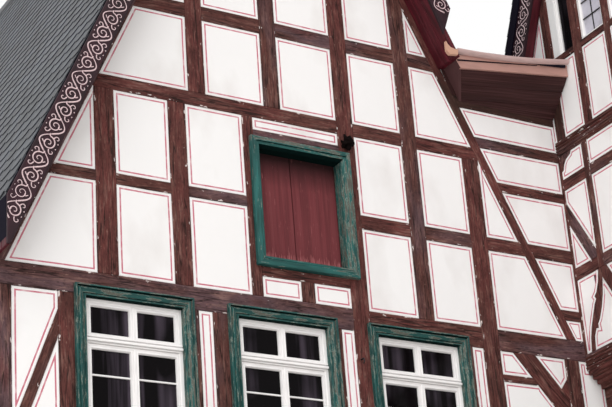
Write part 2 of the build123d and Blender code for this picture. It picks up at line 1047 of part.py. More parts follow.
with BuildPart() as front_roof_right:
    with BuildSketch(elevation(wing_north)):
        draw([front_section])
    extrude(amount=-(rear_edge - wing_north))
    with BuildSketch(elevation(timber_depth)):
        draw([front_section])
        draw([bar(0, wing_length, 0, third_floor + wing_eaves)], Mode.SUBTRACT)
    extrude(amount=-(wing_north - timber_depth))
    with BuildSketch(elevation(0)):
        draw([slope_band(*front_slope, 0, front_roof_thickness, link_eave_level)])
    extrude(amount=-timber_depth)
    with BuildSketch(elevation(-front_verge)):
        draw([front_verge_section])
    extrude(amount=-front_verge)

with BuildPart() as front_roof_left:
    with BuildSketch(elevation(0)):
        draw([slope_band(*front_left_slope, 0, front_roof_thickness, third_floor)])
        draw([bar(2 * front_left, front_left, 0, front_apex)], Mode.SUBTRACT)
    extrude(amount=-rear_edge)
    with BuildSketch(elevation(-front_verge)):
        draw([slope_band(*front_left_slope, plank, front_roof_thickness, third_floor)])
        draw([bar(2 * front_left, front_left, 0, front_apex)], Mode.SUBTRACT)
    extrude(amount=-front_verge)

link_slope = tan(radians(link_roof_pitch))
link_vertical = link_roof_thickness / cos(radians(link_roof_pitch))
link_front = link_board_thickness - link_box_reach
link_back = (
    north_foot * slope + wing_eaves - link_eave_level - link_vertical
) / (slope + link_slope)
link_roof_top = link_eave_level + link_vertical + link_back * link_slope
link_underside_back = (north_foot * slope + wing_eaves - link_eave_level) / (slope + link_slope)
link_section = [
    (link_front, link_eave_level + link_front * link_slope),
    (link_underside_back, link_eave_level + link_underside_back * link_slope),
    (link_back, link_roof_top),
    (link_front, link_eave_level + link_vertical + link_front * link_slope),
]


def under_front_slope(offset):
    """The space under the front gable's right slope, up to a line offset from it."""
    top = link_roof_top + eaves_kick
    return [
        (front_gable_centre, third_floor),
        slope_point(front_foot, third_floor, 1, offset, third_floor),
        slope_point(front_foot, third_floor, 1, offset, top),
        (front_gable_centre, top),
    ]


under_front_roof = under_front_slope(front_roof_thickness)
north_section = slope_with_eaves(
    wing_centre, north_foot, wing_north, wing_eaves, wing_apex, wing_roof_thickness
)
south_section = slope_with_eaves(
    wing_centre, south_foot, wing_south, wing_eaves, wing_apex, wing_roof_thickness
)

with BuildPart() as valley_roof:
    with BuildSketch(cross_section(link_left)):
        draw([north_section])
        draw([bar(wing_south, rear_edge, link_roof_top, 2 * wing_apex)], Mode.SUBTRACT)
    extrude(amount=-link_left)
    with BuildSketch(elevation(0)):
        draw([under_front_roof])
    extrude(amount=-front_depth, mode=Mode.SUBTRACT)

with BuildPart() as wing_roof_north:
    with BuildSketch(cross_section(0)):
        draw([north_section])
    extrude(amount=wing_length)
    with BuildSketch(cross_section(-wing_verge)):
        draw([slope_band(*north_slope, plank, wing_roof_thickness, link_roof_top)])
    extrude(amount=wing_verge)
    with BuildSketch(cross_section(-wing_verge - wing_roofing_lap)):
        draw([slope_band(*north_slope, wing_lap_rise, wing_roof_thickness, link_roof_top)])
    extrude(amount=wing_roofing_lap)

with BuildPart() as wing_roof_south:
    with BuildSketch(cross_section(0)):
        draw([south_section])
    extrude(amount=wing_length)
    with BuildSketch(cross_section(-wing_verge)):
        draw([slope_band(*south_slope, plank, wing_roof_thickness, wing_eaves)])
    extrude(amount=wing_verge)
    with BuildSketch(cross_section(-wing_verge - wing_roofing_lap)):
        draw([slope_band(*south_slope, wing_lap_rise, wing_roof_thickness, wing_eaves)])
    extrude(amount=wing_roofing_lap)


def ridge_profile(centre, top):
    """A ridge cap seated over both slopes."""
    shoulder = top - ridge_cap_half * slope
    return [
        (centre, top),
        (centre + ridge_cap_half, shoulder),
        (centre + ridge_cap_half, shoulder + ridge_cap_height),
        (centre, top + ridge_cap_height),
        (centre - ridge_cap_half, shoulder + ridge_cap_height),
        (centre - ridge_cap_half, shoulder),
    ]


with BuildPart() as ridge_caps:
    with BuildSketch(elevation(-front_verge)):
        draw([ridge_profile(front_gable_centre, front_apex + front_roof_thickness * slant)])
    extrude(amount=-(rear_edge + front_verge))
    with BuildSketch(cross_section(-wing_verge - wing_roofing_lap)):
        draw([ridge_profile(wing_centre, wing_apex + wing_roof_thickness * slant)])
    extrude(amount=wing_length + wing_verge + wing_roofing_lap)

link_box_left = link_left + link_box_lap

# The link's boxed eave runs askew: at its left end it reaches out less and hangs lower, and its
# end board lies along the front gable's slope
link_end_outer = plank + link_board_thickness
link_box_skew = link_box_reach - link_box_reach_left


def skewed_band(outer, inner):
    """A strip in plan beside the link's skewed eave, as its reach out of the wall at the wing."""
    return [
        (0, -outer),
        (0, -inner),
        (link_box_left, link_box_skew - inner),
        (link_box_left, link_box_skew - outer),
    ]


beyond_fascia = skewed_band(2 * link_box_reach, link_box_reach - link_board_thickness)
with BuildPart() as link_roof:
    with BuildSketch(cross_section(link_left)):
        draw([link_section])
    extrude(amount=-link_left)
    with BuildSketch(elevation(0)):
        draw([under_front_roof])
    extrude(amount=-front_depth, mode=Mode.SUBTRACT)
    with BuildSketch(elevation(link_front)):
        draw([bar(2 * link_left, link_box_left, 0, 2 * wing_apex), under_front_slope(plank)])
    extrude(amount=link_front, mode=Mode.SUBTRACT)
    with BuildSketch(Plane.XY):
        draw([beyond_fascia])
    extrude(amount=2 * wing_apex, mode=Mode.SUBTRACT)

with BuildPart() as link_rear_wall:
    with BuildSketch(elevation(side_inner)):
        draw(
            [
                [
                    (0, third_floor + eaves_kick),
                    (0, wing_eaves),
                    slope_point(front_foot, third_floor, 1, front_roof_thickness, wing_eaves),
                    slope_point(
                        front_foot,
                        third_floor,
                        1,
                        front_roof_thickness,
                        third_floor + eaves_kick,
                    ),
                ]
            ]
        )
    extrude(amount=-timber_depth)

# Boxed eave of the link
link_soffit_at_wall = third_floor + link_soffit_rise_at_wall
link_soffit_at_fascia = third_floor + link_soffit_rise_at_fascia
soffit_rise = link_soffit_thickness / 2 + link_soffit_thickness
link_underside_front = link_eave_level + link_front * link_slope
with BuildPart() as link_soffit:
    with BuildSketch(cross_section(link_box_left)):
        draw(
            [
                [
                    (link_front, link_soffit_at_fascia),
                    (0, link_soffit_at_wall),
                    (0, link_soffit_at_wall + soffit_rise),
                    (link_front, link_soffit_at_fascia + link_soffit_thickness),
                ]
            ]
        )
    extrude(amount=-link_box_left)
    with BuildSketch(elevation(-link_box_reach)):
        draw([under_front_slope(link_end_outer)])
    extrude(amount=-link_box_reach, mode=Mode.SUBTRACT)
    with BuildSketch(Plane.XY):
        draw([beyond_fascia])
    extrude(amount=2 * wing_apex, mode=Mode.SUBTRACT)

link_fascia = [
    (0, link_soffit_at_fascia),
    (0, link_eave_level),
    (link_box_left, link_eave_level - link_gutter_fall),
    (link_box_left, link_soffit_at_fascia - link_fascia_fall),
]
with BuildPart() as fascia:
    with BuildSketch(elevation(-link_box_reach)):
        draw([link_fascia])
        draw([under_front_slope(plank)], Mode.SUBTRACT)
    extrude(amount=-link_box_reach)
    with BuildSketch(Plane.XY):
        draw([skewed_band(link_box_reach, link_box_reach - link_board_thickness)])
    extrude(amount=2 * wing_apex, mode=Mode.INTERSECT)

with BuildPart() as link_box_boards:
    with BuildSketch(cross_section(link_left)):
        draw(
            [
                [
                    (link_front, link_soffit_at_fascia),
                    (0, link_soffit_at_wall),
                    (0, link_eave_level),
                    (link_front, link_underside_front),
                ]
            ]
        )
    extrude(amount=-link_left)
    with BuildSketch(elevation(-link_box_reach)):
        draw([slope_band(*front_slope, plank, link_end_outer, third_floor)])
    extrude(amount=-link_box_reach, mode=Mode.INTERSECT)
    with BuildSketch(Plane.XY):
        draw([beyond_fascia])
    extrude(amount=2 * wing_apex, mode=Mode.SUBTRACT)
    add(fascia.part)

gutter_outer = -link_box_reach - link_gutter_overhang
gutter_inner = gutter_outer + link_gutter_width
gutter_top = link_eave_level + link_gutter_height
gutter_share = link_gutter_left / link_box_left
gutter_run = Vector(link_box_left, link_box_skew, -link_gutter_fall) * gutter_share
with BuildPart() as link_gutter:
    with BuildSketch(cross_section(0)):
        draw([bar(gutter_outer, gutter_inner, link_eave_level, gutter_top)])
        draw(
            [
                bar(
                    gutter_outer + link_gutter_wall,
                    gutter_inner - link_gutter_wall,
                    link_eave_level + link_gutter_wall,
                    gutter_top,
                )
            ],
            Mode.SUBTRACT,
        )
    extrude(amount=gutter_run.length, dir=gutter_run)

# Verge planks under the overhangs, and scroll boards on their edges
with BuildPart() as right_verge_planks:
    with BuildSketch(elevation(-front_verge)):
        draw([slope_band(*front_slope, -plank, plank, link_eave_level - verge_plank_drop)])
    extrude(amount=-front_verge)
    with BuildSketch(cross_section(-wing_verge)):
        draw([slope_band(*south_slope, -plank, plank, wing_eaves)])
    extrude(amount=wing_verge)

with BuildPart() as left_verge_planks:
    with BuildSketch(elevation(-front_verge)):
        draw([slope_band(*front_left_slope, -plank, plank, third_floor)])
        draw([bar(2 * front_left, front_left, 0, front_apex)], Mode.SUBTRACT)
    extrude(amount=-front_verge)
    with BuildSketch(cross_section(-wing_verge)):
        draw([slope_band(*north_slope, -plank, plank, link_roof_top)])
    extrude(amount=wing_verge)

front_board = slope_band(
    *front_slope,
    front_board_rise,
    front_board_rise + scroll_board_height,
    third_floor + verge_flare_rise,
)
front_board = [*front_board[:2], foot_corner, verge_foot_tip, front_board[3]]
with BuildPart() as right_scroll_boards:
    with BuildSketch(elevation(-front_verge - scroll_board_thickness)):
        draw([front_board])
    extrude(amount=-scroll_board_thickness)
    with BuildSketch(cross_section(-wing_verge - scroll_board_thickness)):
        draw([slope_band(*south_slope, wing_board_rise, wing_lap_rise, wing_eaves)])
    extrude(amount=scroll_board_thickness)

with BuildPart() as left_scroll_boards:
    with BuildSketch(elevation(-front_verge - scroll_board_thickness)):
        draw(
            [
                slope_band(
                    *front_left_slope,
                    front_board_rise,
                    front_board_rise + scroll_board_height,
                    third_floor,
                )
            ]
        )
        draw([bar(2 * front_left, front_left, 0, front_apex)], Mode.SUBTRACT)
    extrude(amount=-scroll_board_thickness)
    with BuildSketch(cross_section(-wing_verge - scroll_board_thickness)):
        draw([slope_band(*north_slope, wing_board_rise, wing_lap_rise, link_roof_top)])
    extrude(amount=scroll_board_thickness)

# Hatch, windows, door and the carved knob
hatch_face = shifted(bar(*hatch_outer), 0, third_floor)
hatch_hole = shifted(bar(*hatch_light), 0, third_floor)
hatch_joint = shifted(
    bar(
        hatch_leaf_joint - hatch_leaf_gap / 2,
        hatch_leaf_joint + hatch_leaf_gap / 2,
        hatch_light[2],
        hatch_light[3],
    ),
    0,
    third_floor,
)
with BuildPart() as hatch_frame:
    with BuildSketch(elevation(-hatch_proud)):
        draw([hatch_face])
        draw([hatch_hole], Mode.SUBTRACT)
    extrude(amount=-hatch_proud)
    with BuildSketch(elevation(0)):
        draw([hatch_opening])
        draw([hatch_hole], Mode.SUBTRACT)
    extrude(amount=-hatch_leaf_setback - hatch_leaf_thickness)

with BuildPart() as hatch_leaves:
    with BuildSketch(elevation(hatch_leaf_setback)):
        draw([hatch_hole])
        draw([hatch_joint], Mode.SUBTRACT)
    extrude(amount=-hatch_leaf_thickness)

# Every cased window: its wall's plane, and the lights in it
cased_walls = [
    (front_plane, front_lights),
    (lower_wing_plane, lower_wing_lights),
    (wing_south_plane, south_lights),
    (wing_north_plane, north_lights),
    (court_plane, court_lights),
    (rear_plane, rear_lights),
]


def cased_light(light):
    """The opening that a casing leaves for its window frame."""
    left, low = light[0]
    right, high = light[2]
    side = opening_half - casing_light_half
    return bar(left + side, right - side, low + casing_sill_lining, high - casing_head_lining)


def casing_flange(light):
    """The outer edge of a casing on the wall's face."""
    left, low = light[0]
    right, high = light[2]
    side = casing_half - opening_half
    return bar(left - side, right + side, low - casing_flange_down, high + casing_flange_up)


def frame_holes(light):
    """The two upper and two lower panes within a window frame."""
    left, low = light[0]
    right, high = light[2]
    middle = (left + right) / 2
    transom_top = high + casing_head_lining - transom_drop
    columns = [
        (left + frame_bar, middle - mullion_width / 2),
        (middle + mullion_width / 2, right - frame_bar),
    ]
    rows = [(low + frame_bar, transom_top - transom_height), (transom_top, high - frame_bar)]
    return [bar(*column, *row) for column in columns for row in rows]


def inset(light, margin):
    """The same upright rectangle, drawn in by a margin on every side."""
    left, low = light[0]
    right, high = light[2]
    return bar(left + margin, right - margin, low + margin, high - margin)


with BuildPart() as window_casings:
    for plane, wall_lights in cased_walls:
        holes = [cased_light(light) for light in wall_lights]
        with BuildSketch(plane):
            draw(wall_lights)
            draw(holes, Mode.SUBTRACT)
        extrude(amount=-casing_depth)
        with BuildSketch(plane):
            draw([casing_flange(light) for light in wall_lights])
            draw(holes, Mode.SUBTRACT)
        extrude(amount=casing_proud)

with BuildPart() as window_frames:
    for plane, wall_lights in cased_walls:
        frames = [cased_light(light) for light in wall_lights]
        with BuildSketch(plane.offset(-frame_setback)):
            draw(frames)
            for frame in frames:
                draw(frame_holes(frame), Mode.SUBTRACT)
        extrude(amount=-frame_depth)

with BuildPart() as window_glass:
    for plane, wall_lights in cased_walls:
        with BuildSketch(plane.offset(-frame_setback - frame_depth)):
            draw([inset(cased_light(light), glass_margin) for light in wall_lights])
        extrude(amount=-glass_thickness)

wing_windows = wing_lights + wing_storey_lights

with BuildPart() as wing_window_frames:
    with BuildSketch(wing_plane.offset(-frame_setback)):
        draw(wing_windows)
        draw([inset(light, small_frame_bar) for light in wing_windows], Mode.SUBTRACT)
    extrude(amount=-frame_depth)

with BuildPart() as wing_window_glass:
    with BuildSketch(wing_plane.offset(-frame_setback - frame_depth)):
        draw([inset(light, small_frame_bar / 2) for light in wing_windows])
    extrude(amount=-glass_thickness)

door_hole = bar(
    door_centre - opening_half, door_centre + opening_half, door_threshold, door_head
)
door_light = bar(
    door_centre - opening_half + door_frame_bar,
    door_centre + opening_half - door_frame_bar,
    door_threshold,
    door_head - door_frame_bar,
)
with BuildPart() as door_frame:
    with BuildSketch(front_plane):
        draw([door_hole])
        draw([door_light], Mode.SUBTRACT)
    extrude(amount=-casing_depth)

with BuildPart() as front_door:
    with BuildSketch(front_plane.offset(-frame_setback)):
        draw([door_light])
    extrude(amount=-door_thickness)

with BuildPart() as carved_knob:
    with BuildSketch(front_plane):
        with Locations((knob_x, third_floor + knob_rise)):
            Circle(knob_radius)
    extrude(amount=knob_length)

pieces = {
    "front_wall_posts": front_wall_posts,
    "front_wall_beams": front_wall_beams,
    "front_wall_rails": front_wall_rails,
    "link_wall_rails": link_wall_rails,
    "front_wall_braces": front_wall_braces,
    "front_wall_infill": front_wall_infill,
    "gable_rafters": gable_rafters,
    "wing_wall_posts": wing_wall_posts,
    "wing_wall_beams": wing_wall_beams,
    "wing_wall_rails": wing_wall_rails,
    "wing_wall_braces": wing_wall_braces,
    "wing_wall_infill": wing_wall_infill,
    "jetty_moulding": jetty_moulding,
    "side_wall_beams": side_wall_beams,
    "side_wall_posts": side_wall_posts,
    "side_wall_sills": side_wall_sills,
    "side_wall_infill": side_wall_infill,
    "cross_plinths": cross_plinths,
    "long_plinths": long_plinths,
    "front_party_wall": front_party_wall,
    "wing_party_wall": wing_party_wall,
    "front_floor_slabs": front_floor_slabs,
    "wing_floor_slabs": wing_floor_slabs,
    "front_roof_right": front_roof_right,
    "front_roof_left": front_roof_left,
    "wing_roof_north": wing_roof_north,
    "valley_roof": valley_roof,
    "wing_roof_south": wing_roof_south,
    "ridge_caps": ridge_caps,
    "link_roof": link_roof,
    "link_rear_wall": link_rear_wall,
    "link_soffit": link_soffit,
    "link_box_boards": link_box_boards,
    "link_gutter": link_gutter,
    "right_verge_planks": right_verge_planks,
    "left_verge_planks": left_verge_planks,
    "right_scroll_boards": right_scroll_boards,
    "left_scroll_boards": left_scroll_boards,
    "hatch_frame": hatch_frame,
    "hatch_leaves": hatch_leaves,
    "window_casings": window_casings,
    "window_frames": window_frames,
    "window_glass": window_glass,
    "wing_window_frames": wing_window_frames,
    "wing_window_glass": wing_window_glass,
    "door_frame": door_frame,
    "front_door": front_door,
    "carved_knob": carved_knob,
}
os.makedirs("parts", exist_ok=True)
for name, piece in pieces.items():
    piece.part.label = name
    export_step(piece.part, f"parts/{name}.step")
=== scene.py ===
"""Looks for a half timbered house: a steep front gable and a jettied side wing at an inner corner."""

import math
import random

import bmesh
import bpy
from bpy.props import FloatProperty, FloatVectorProperty, IntProperty, PointerProperty
from mathutils import Matrix, Vector, noise


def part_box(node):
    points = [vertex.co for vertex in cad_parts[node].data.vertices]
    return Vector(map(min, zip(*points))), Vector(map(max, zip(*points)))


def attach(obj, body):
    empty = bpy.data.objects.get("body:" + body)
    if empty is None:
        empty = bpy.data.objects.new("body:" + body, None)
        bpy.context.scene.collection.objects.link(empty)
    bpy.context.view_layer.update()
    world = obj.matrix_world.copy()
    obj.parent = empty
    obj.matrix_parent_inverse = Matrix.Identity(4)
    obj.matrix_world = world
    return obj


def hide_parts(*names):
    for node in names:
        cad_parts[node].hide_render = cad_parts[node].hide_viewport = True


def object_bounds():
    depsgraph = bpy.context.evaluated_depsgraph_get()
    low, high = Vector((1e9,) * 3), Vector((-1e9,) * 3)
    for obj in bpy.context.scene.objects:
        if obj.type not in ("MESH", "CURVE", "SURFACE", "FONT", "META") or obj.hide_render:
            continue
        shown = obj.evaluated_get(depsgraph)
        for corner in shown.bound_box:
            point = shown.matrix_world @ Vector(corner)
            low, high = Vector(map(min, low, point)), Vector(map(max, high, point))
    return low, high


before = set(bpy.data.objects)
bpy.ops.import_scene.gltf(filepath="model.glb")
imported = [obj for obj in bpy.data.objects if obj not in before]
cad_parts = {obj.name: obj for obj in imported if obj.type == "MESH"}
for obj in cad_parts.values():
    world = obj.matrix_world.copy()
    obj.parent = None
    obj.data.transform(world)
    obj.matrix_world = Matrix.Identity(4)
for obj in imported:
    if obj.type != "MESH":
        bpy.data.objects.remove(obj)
CAD_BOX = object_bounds()

bl_info = {
    "name": "Half Timbered House",
    "version": (1, 0, 0),
    "blender": (4, 5, 0),
    "location": "3D View > Sidebar > House",
    "description": "Dresses the packed house in painted oak, lime plaster, slate and glass",
    "category": "Add Mesh",
}

ACROSS = Vector((1, 0, 0))
DEEP = Vector((0, 1, 0))
UP = Vector((0, 0, 1))
MERGE = 1e-5
FLAT = math.radians(1)
SHARP = math.radians(20)
FACING = 0.9
SEED = 7

# The photograph's viewpoint, in metres and degrees, and its focal length in pixels
EYE = Vector((-12.152, -14.0, 1.6))
YAW = math.radians(32.169)
PITCH = math.radians(23.859)
ROLL = math.radians(4.468)
FOCAL_PIXELS = 1813.55
PHOTO_WIDTH = 612
SENSOR = 36

# Plain soft light: strengths, the sun's apparent width and the way it falls
WORLD_LIGHT = 0.92
SUN_LIGHT = 1.2
SUN_SPREAD = math.radians(50)
SUN_FALL = Vector((0.55, 0.62, -0.85))

# Level direction square to the link's skewed eave
EAVE_ACROSS = Vector((0.078, 0.997, 0)).normalized()

# Where timbers get painted shade below the link's boxed eave, with some moss: clear and full places across, deep
# and up
EAVE_SHADE = ((-1.75, -1.5), (0.6, 0.25), (10.0, 10.4), (10.8, 10.6))

TIMBER_NODES = (
    "front_wall_posts",
    "front_wall_beams",
    "front_wall_rails",
    "link_wall_rails",
    "front_wall_braces",
    "gable_rafters",
    "wing_wall_posts",
    "wing_wall_beams",
    "wing_wall_rails",
    "wing_wall_braces",
    "side_wall_beams",
    "side_wall_posts",
    "side_wall_sills",
)
ROOF_NODES = (
    "front_roof_right",
    "front_roof_left",
    "wing_roof_north",
    "wing_roof_south",
    "valley_roof",
)


def linear(colour):
    """A colour written as sRGB hex, in the linear light that a shader takes."""
    parts = [int(colour[i : i + 2], 16) / 255 for i in (1, 3, 5)]
    return (*[p / 12.92 if p <= 0.04045 else ((p + 0.055) / 1.055) ** 2.4 for p in parts], 1.0)


def dimmed(colour, share):
    """A colour with all its light scaled by a share."""
    return (*[min(1.0, c * share) for c in tuple(colour)[:3]], 1.0)


def length(name, description, default, **limits):
    """A length that a user may change, in metres."""
    return FloatProperty(name=name, description=description, default=default, unit="LENGTH", **limits)


def colour(name, description, default):
    """A colour that a user may change."""
    return FloatVectorProperty(
        name=name, description=description, default=linear(default), subtype="COLOR", size=4
    )


class HouseSizes(bpy.types.PropertyGroup):
    """Sizes of the dressing."""

    arris: length("Worn arris", "Width of the worn edge of each timber", 0.007, min=0.001, max=0.01)
    sway: length("Sway", "How far hewn faces and edges wander from straight", 0.005, min=0, max=0.01)
    sway_length: length("Sway length", "Distance between two bends of a timber", 0.7, min=0.2)
    slice_length: length("Slice length", "Spacing of the cuts that let a timber bend", 0.3, min=0.1)
    line_margin: length("Line margin", "Bare plaster outside the painted line", 0.028, min=0.005)
    line_width: length("Line width", "Width of the painted line in each panel", 0.016, min=0.002)
    plaster_edge: length("Plaster edge", "Width of the rounded rim of a panel", 0.007, min=0.001)
    board_joint: length("Board joint", "Open joint between two boards", 0.006, min=0.001)
    sash: length("Sash width", "Face width of a casement's rail", 0.03, min=0.015)
    glazing_bar: length("Glazing bar", "Thickness of the bar in a lower casement", 0.016, min=0.008)
    slate_width: length("Slate width", "Width of one slate", 0.25, min=0.1)
    slate_course: length("Slate course", "Height that shows of each slate", 0.19, min=0.1)
    slate_thickness: length("Slate thickness", "Thickness of one slate", 0.009, min=0.004)
    stone_length: length("Stone length", "Mean length of a plinth stone", 0.7, min=0.2)
    stone_joint: length("Stone joint", "Half width of a joint between plinth stones", 0.008, min=0.002)
    scroll_pitch: length("Scroll pitch", "Distance between two scrolls of a verge board", 0.2, min=0.1)
    scroll_width: length("Scroll width", "Width of the scrollwork across its board", 0.19, min=0.05)
    stone_courses: IntProperty(name="Stone courses", description="Courses of the plinth", default=2, min=1)


class HouseColours(bpy.types.PropertyGroup):
    """Colours of the finishes."""

    timber: colour("Timber", "Weathered brown paint on oak", "#643D37")
    timber_red: colour("Red timber", "Brown paint where it has kept its red", "#6E3B37")
    timber_grey: colour("Grey timber", "Brown paint gone purple grey", "#6A5054")
    timber_pale: colour("Worn timber", "Oak where the paint has worn thin", "#9A776C")
    timber_chip: colour("Chipped timber", "Lime and bare wood at chipped arrises", "#D8CCC8")
    timber_dark: colour("Timber cracks", "Drying cracks and dirt", "#1E100E")
    # Painted shade below the boxed eave, with some moss
    timber_shaded: colour("Shaded timber", "Mossy, sooty oak under the boxed eave", "#2F221C")
    plaster: colour("Plaster", "Limewashed infill", "#FAF8F7")
    plaster_grey: colour("Soiled plaster", "Rain marks on limewash", "#E4DFDC")
    line: colour("Panel line", "Painted line inside each panel", "#CB7484")
    green: colour("Green paint", "Casings and hatch frame", "#245B57")
    green_wood: colour("Bare casing", "Wood under flaked green paint", "#67685F")
    green_rim: colour("Broken paint", "Pale edges of flaked green paint", "#A9B7AA")
    cream: colour("Window paint", "Casement paint", "#FBF8F7")
    hatch: colour("Hatch boards", "Faded red brown stain", "#763338")
    hatch_pale: colour("Worn hatch boards", "Bleached grain", "#8B5152")
    wine: colour("Verge paint", "Dark red verge planks", "#541420")
    scroll_ground: colour("Scroll board paint", "Black red behind the scrolls", "#2C111B")
    scroll: colour("Scroll paint", "Painted scrolls of the verge boards", "#E6C9CC")
    eave: colour("Eave boards", "Dark red brown soffit", "#371A19")
    tan: colour("Gutter paint", "Weathered pink tan gutter", "#CDAFAB")
    fascia: colour("Fascia paint", "Pink tan of the fascia", "#B98D82")
    flashing: colour("Flashing", "Orange tan sheet at the verge's foot", "#CFA088")
    # Partly painted shade: the roof's edges are darkened for the shade they sit in, and the dark strips of
    # painted shadow at the eave use it too
    roof_edge: colour("Roof edge", "Tarred navy edge of the roof", "#15111F")
    slate: colour("Slate", "Blue grey slate", "#3A3F48")
    slate_dark: colour("Dark slate", "Slate edges and shaded slates", "#171A22")
    sandstone: colour("Sandstone", "Dressed red brown plinth", "#A58A76")
    glass: colour("Glass", "Old panes over dark rooms", "#0C090B")
    curtain: colour("Curtains", "Folds behind the panes", "#5A505C")
    # Painted reflection: the pale colour of the leaded panes stands for the sky they reflect
    sky_glass: colour("Leaded glass", "Small panes that catch the sky", "#D9D6E2")
    iron: colour("Iron", "Forged iron", "#120F11")
    boss: colour("Carved boss", "Black brown carved boss", "#120B0B")
    end_board: colour("End board", "Brown end of the boxed eave", "#4C2A2B")
    oak: colour("Door oak", "Oiled oak", "#5A3B2A")
    floor_boards: colour("Floor boards", "Bare pine boards", "#8B6B4C")


FINISHES = {}


def add(material, kind, inputs=None, output=0, stops=(), scale=None, **settings):
    """Adds a node and gives one of its outputs; its inputs are values or other nodes' outputs."""
    tree = material.node_tree
    node = tree.nodes.new(kind)
    for name, value in settings.items():
        setattr(node, name, value)
    inputs = dict(inputs or {})
    if scale is not None:
        inputs["Vector"] = add(
            material, "ShaderNodeMapping", {"Vector": inputs["Vector"], "Scale": scale}
        )
        inputs["Scale"] = 1.0
    for socket, value in inputs.items():
        if isinstance(value, bpy.types.NodeSocket):
            tree.links.new(value, node.inputs[socket])
        else:
            node.inputs[socket].default_value = value
    if stops:
        ramp = node.color_ramp.elements
        while len(ramp) < len(stops):
            ramp.new(1.0)
        for element, (position, shade) in zip(ramp, stops):
            element.position = position
            element.color = (shade, shade, shade, 1) if isinstance(shade, (int, float)) else shade
    return node.outputs[output] if node.outputs else None


# Short names of the nodes that the finishes are made of
NOISE = "ShaderNodeTexNoise"
RAMP = "ShaderNodeValToRGB"
MIX = "ShaderNodeMix"
MATHS = "ShaderNodeMath"
ATTRIBUTE = "ShaderNodeAttribute"
COLOURS = {"output": 2, "data_type": "RGBA"}
TINT = {"output": 2, "data_type": "RGBA", "blend_type": "MULTIPLY"}


def per_metre(*millimetres):
    """Scale of a pattern whose features are that many millimetres apart, along each axis."""
    return tuple(1000 / apart for apart in millimetres)


def new_material(name):
    """An empty node material."""
    material = bpy.data.materials.new(name)
    material.use_nodes = True
    material.node_tree.nodes.clear()
    return material


def finish(material, base, roughness, relief=None, depth=0.002, **values):
    """The surface shader, with relief of the given depth in metres."""
    sockets = {"Base Color": base, "Roughness": roughness}
    sockets.update({name.replace("_", " "): value for name, value in values.items()})
    if relief is not None:
        heights = {"Height": relief, "Distance": depth, "Strength": 0.8}
        sockets["Normal"] = add(material, "ShaderNodeBump", heights)
    shader = add(material, "ShaderNodeBsdfPrincipled", sockets)
    add(material, "ShaderNodeOutputMaterial", {"Surface": shader})
    return material


def edge_distance(material):
    """Metres from the nearest long arris of a timber."""
    from_middle = add(material, ATTRIBUTE, output=1, attribute_name="rim")
    half = add(material, ATTRIBUTE, output=1, attribute_name="half")
    away = add(material, "ShaderNodeVectorMath", {0: from_middle}, operation="ABSOLUTE")
    left = add(material, "ShaderNodeVectorMath", {0: half, 1: away}, operation="SUBTRACT")
    sides = [add(material, "ShaderNodeSeparateXYZ", {0: left}, output=axis) for axis in (0, 1)]
    return add(material, MATHS, {0: sides[0], 1: sides[1]}, operation="MAXIMUM")


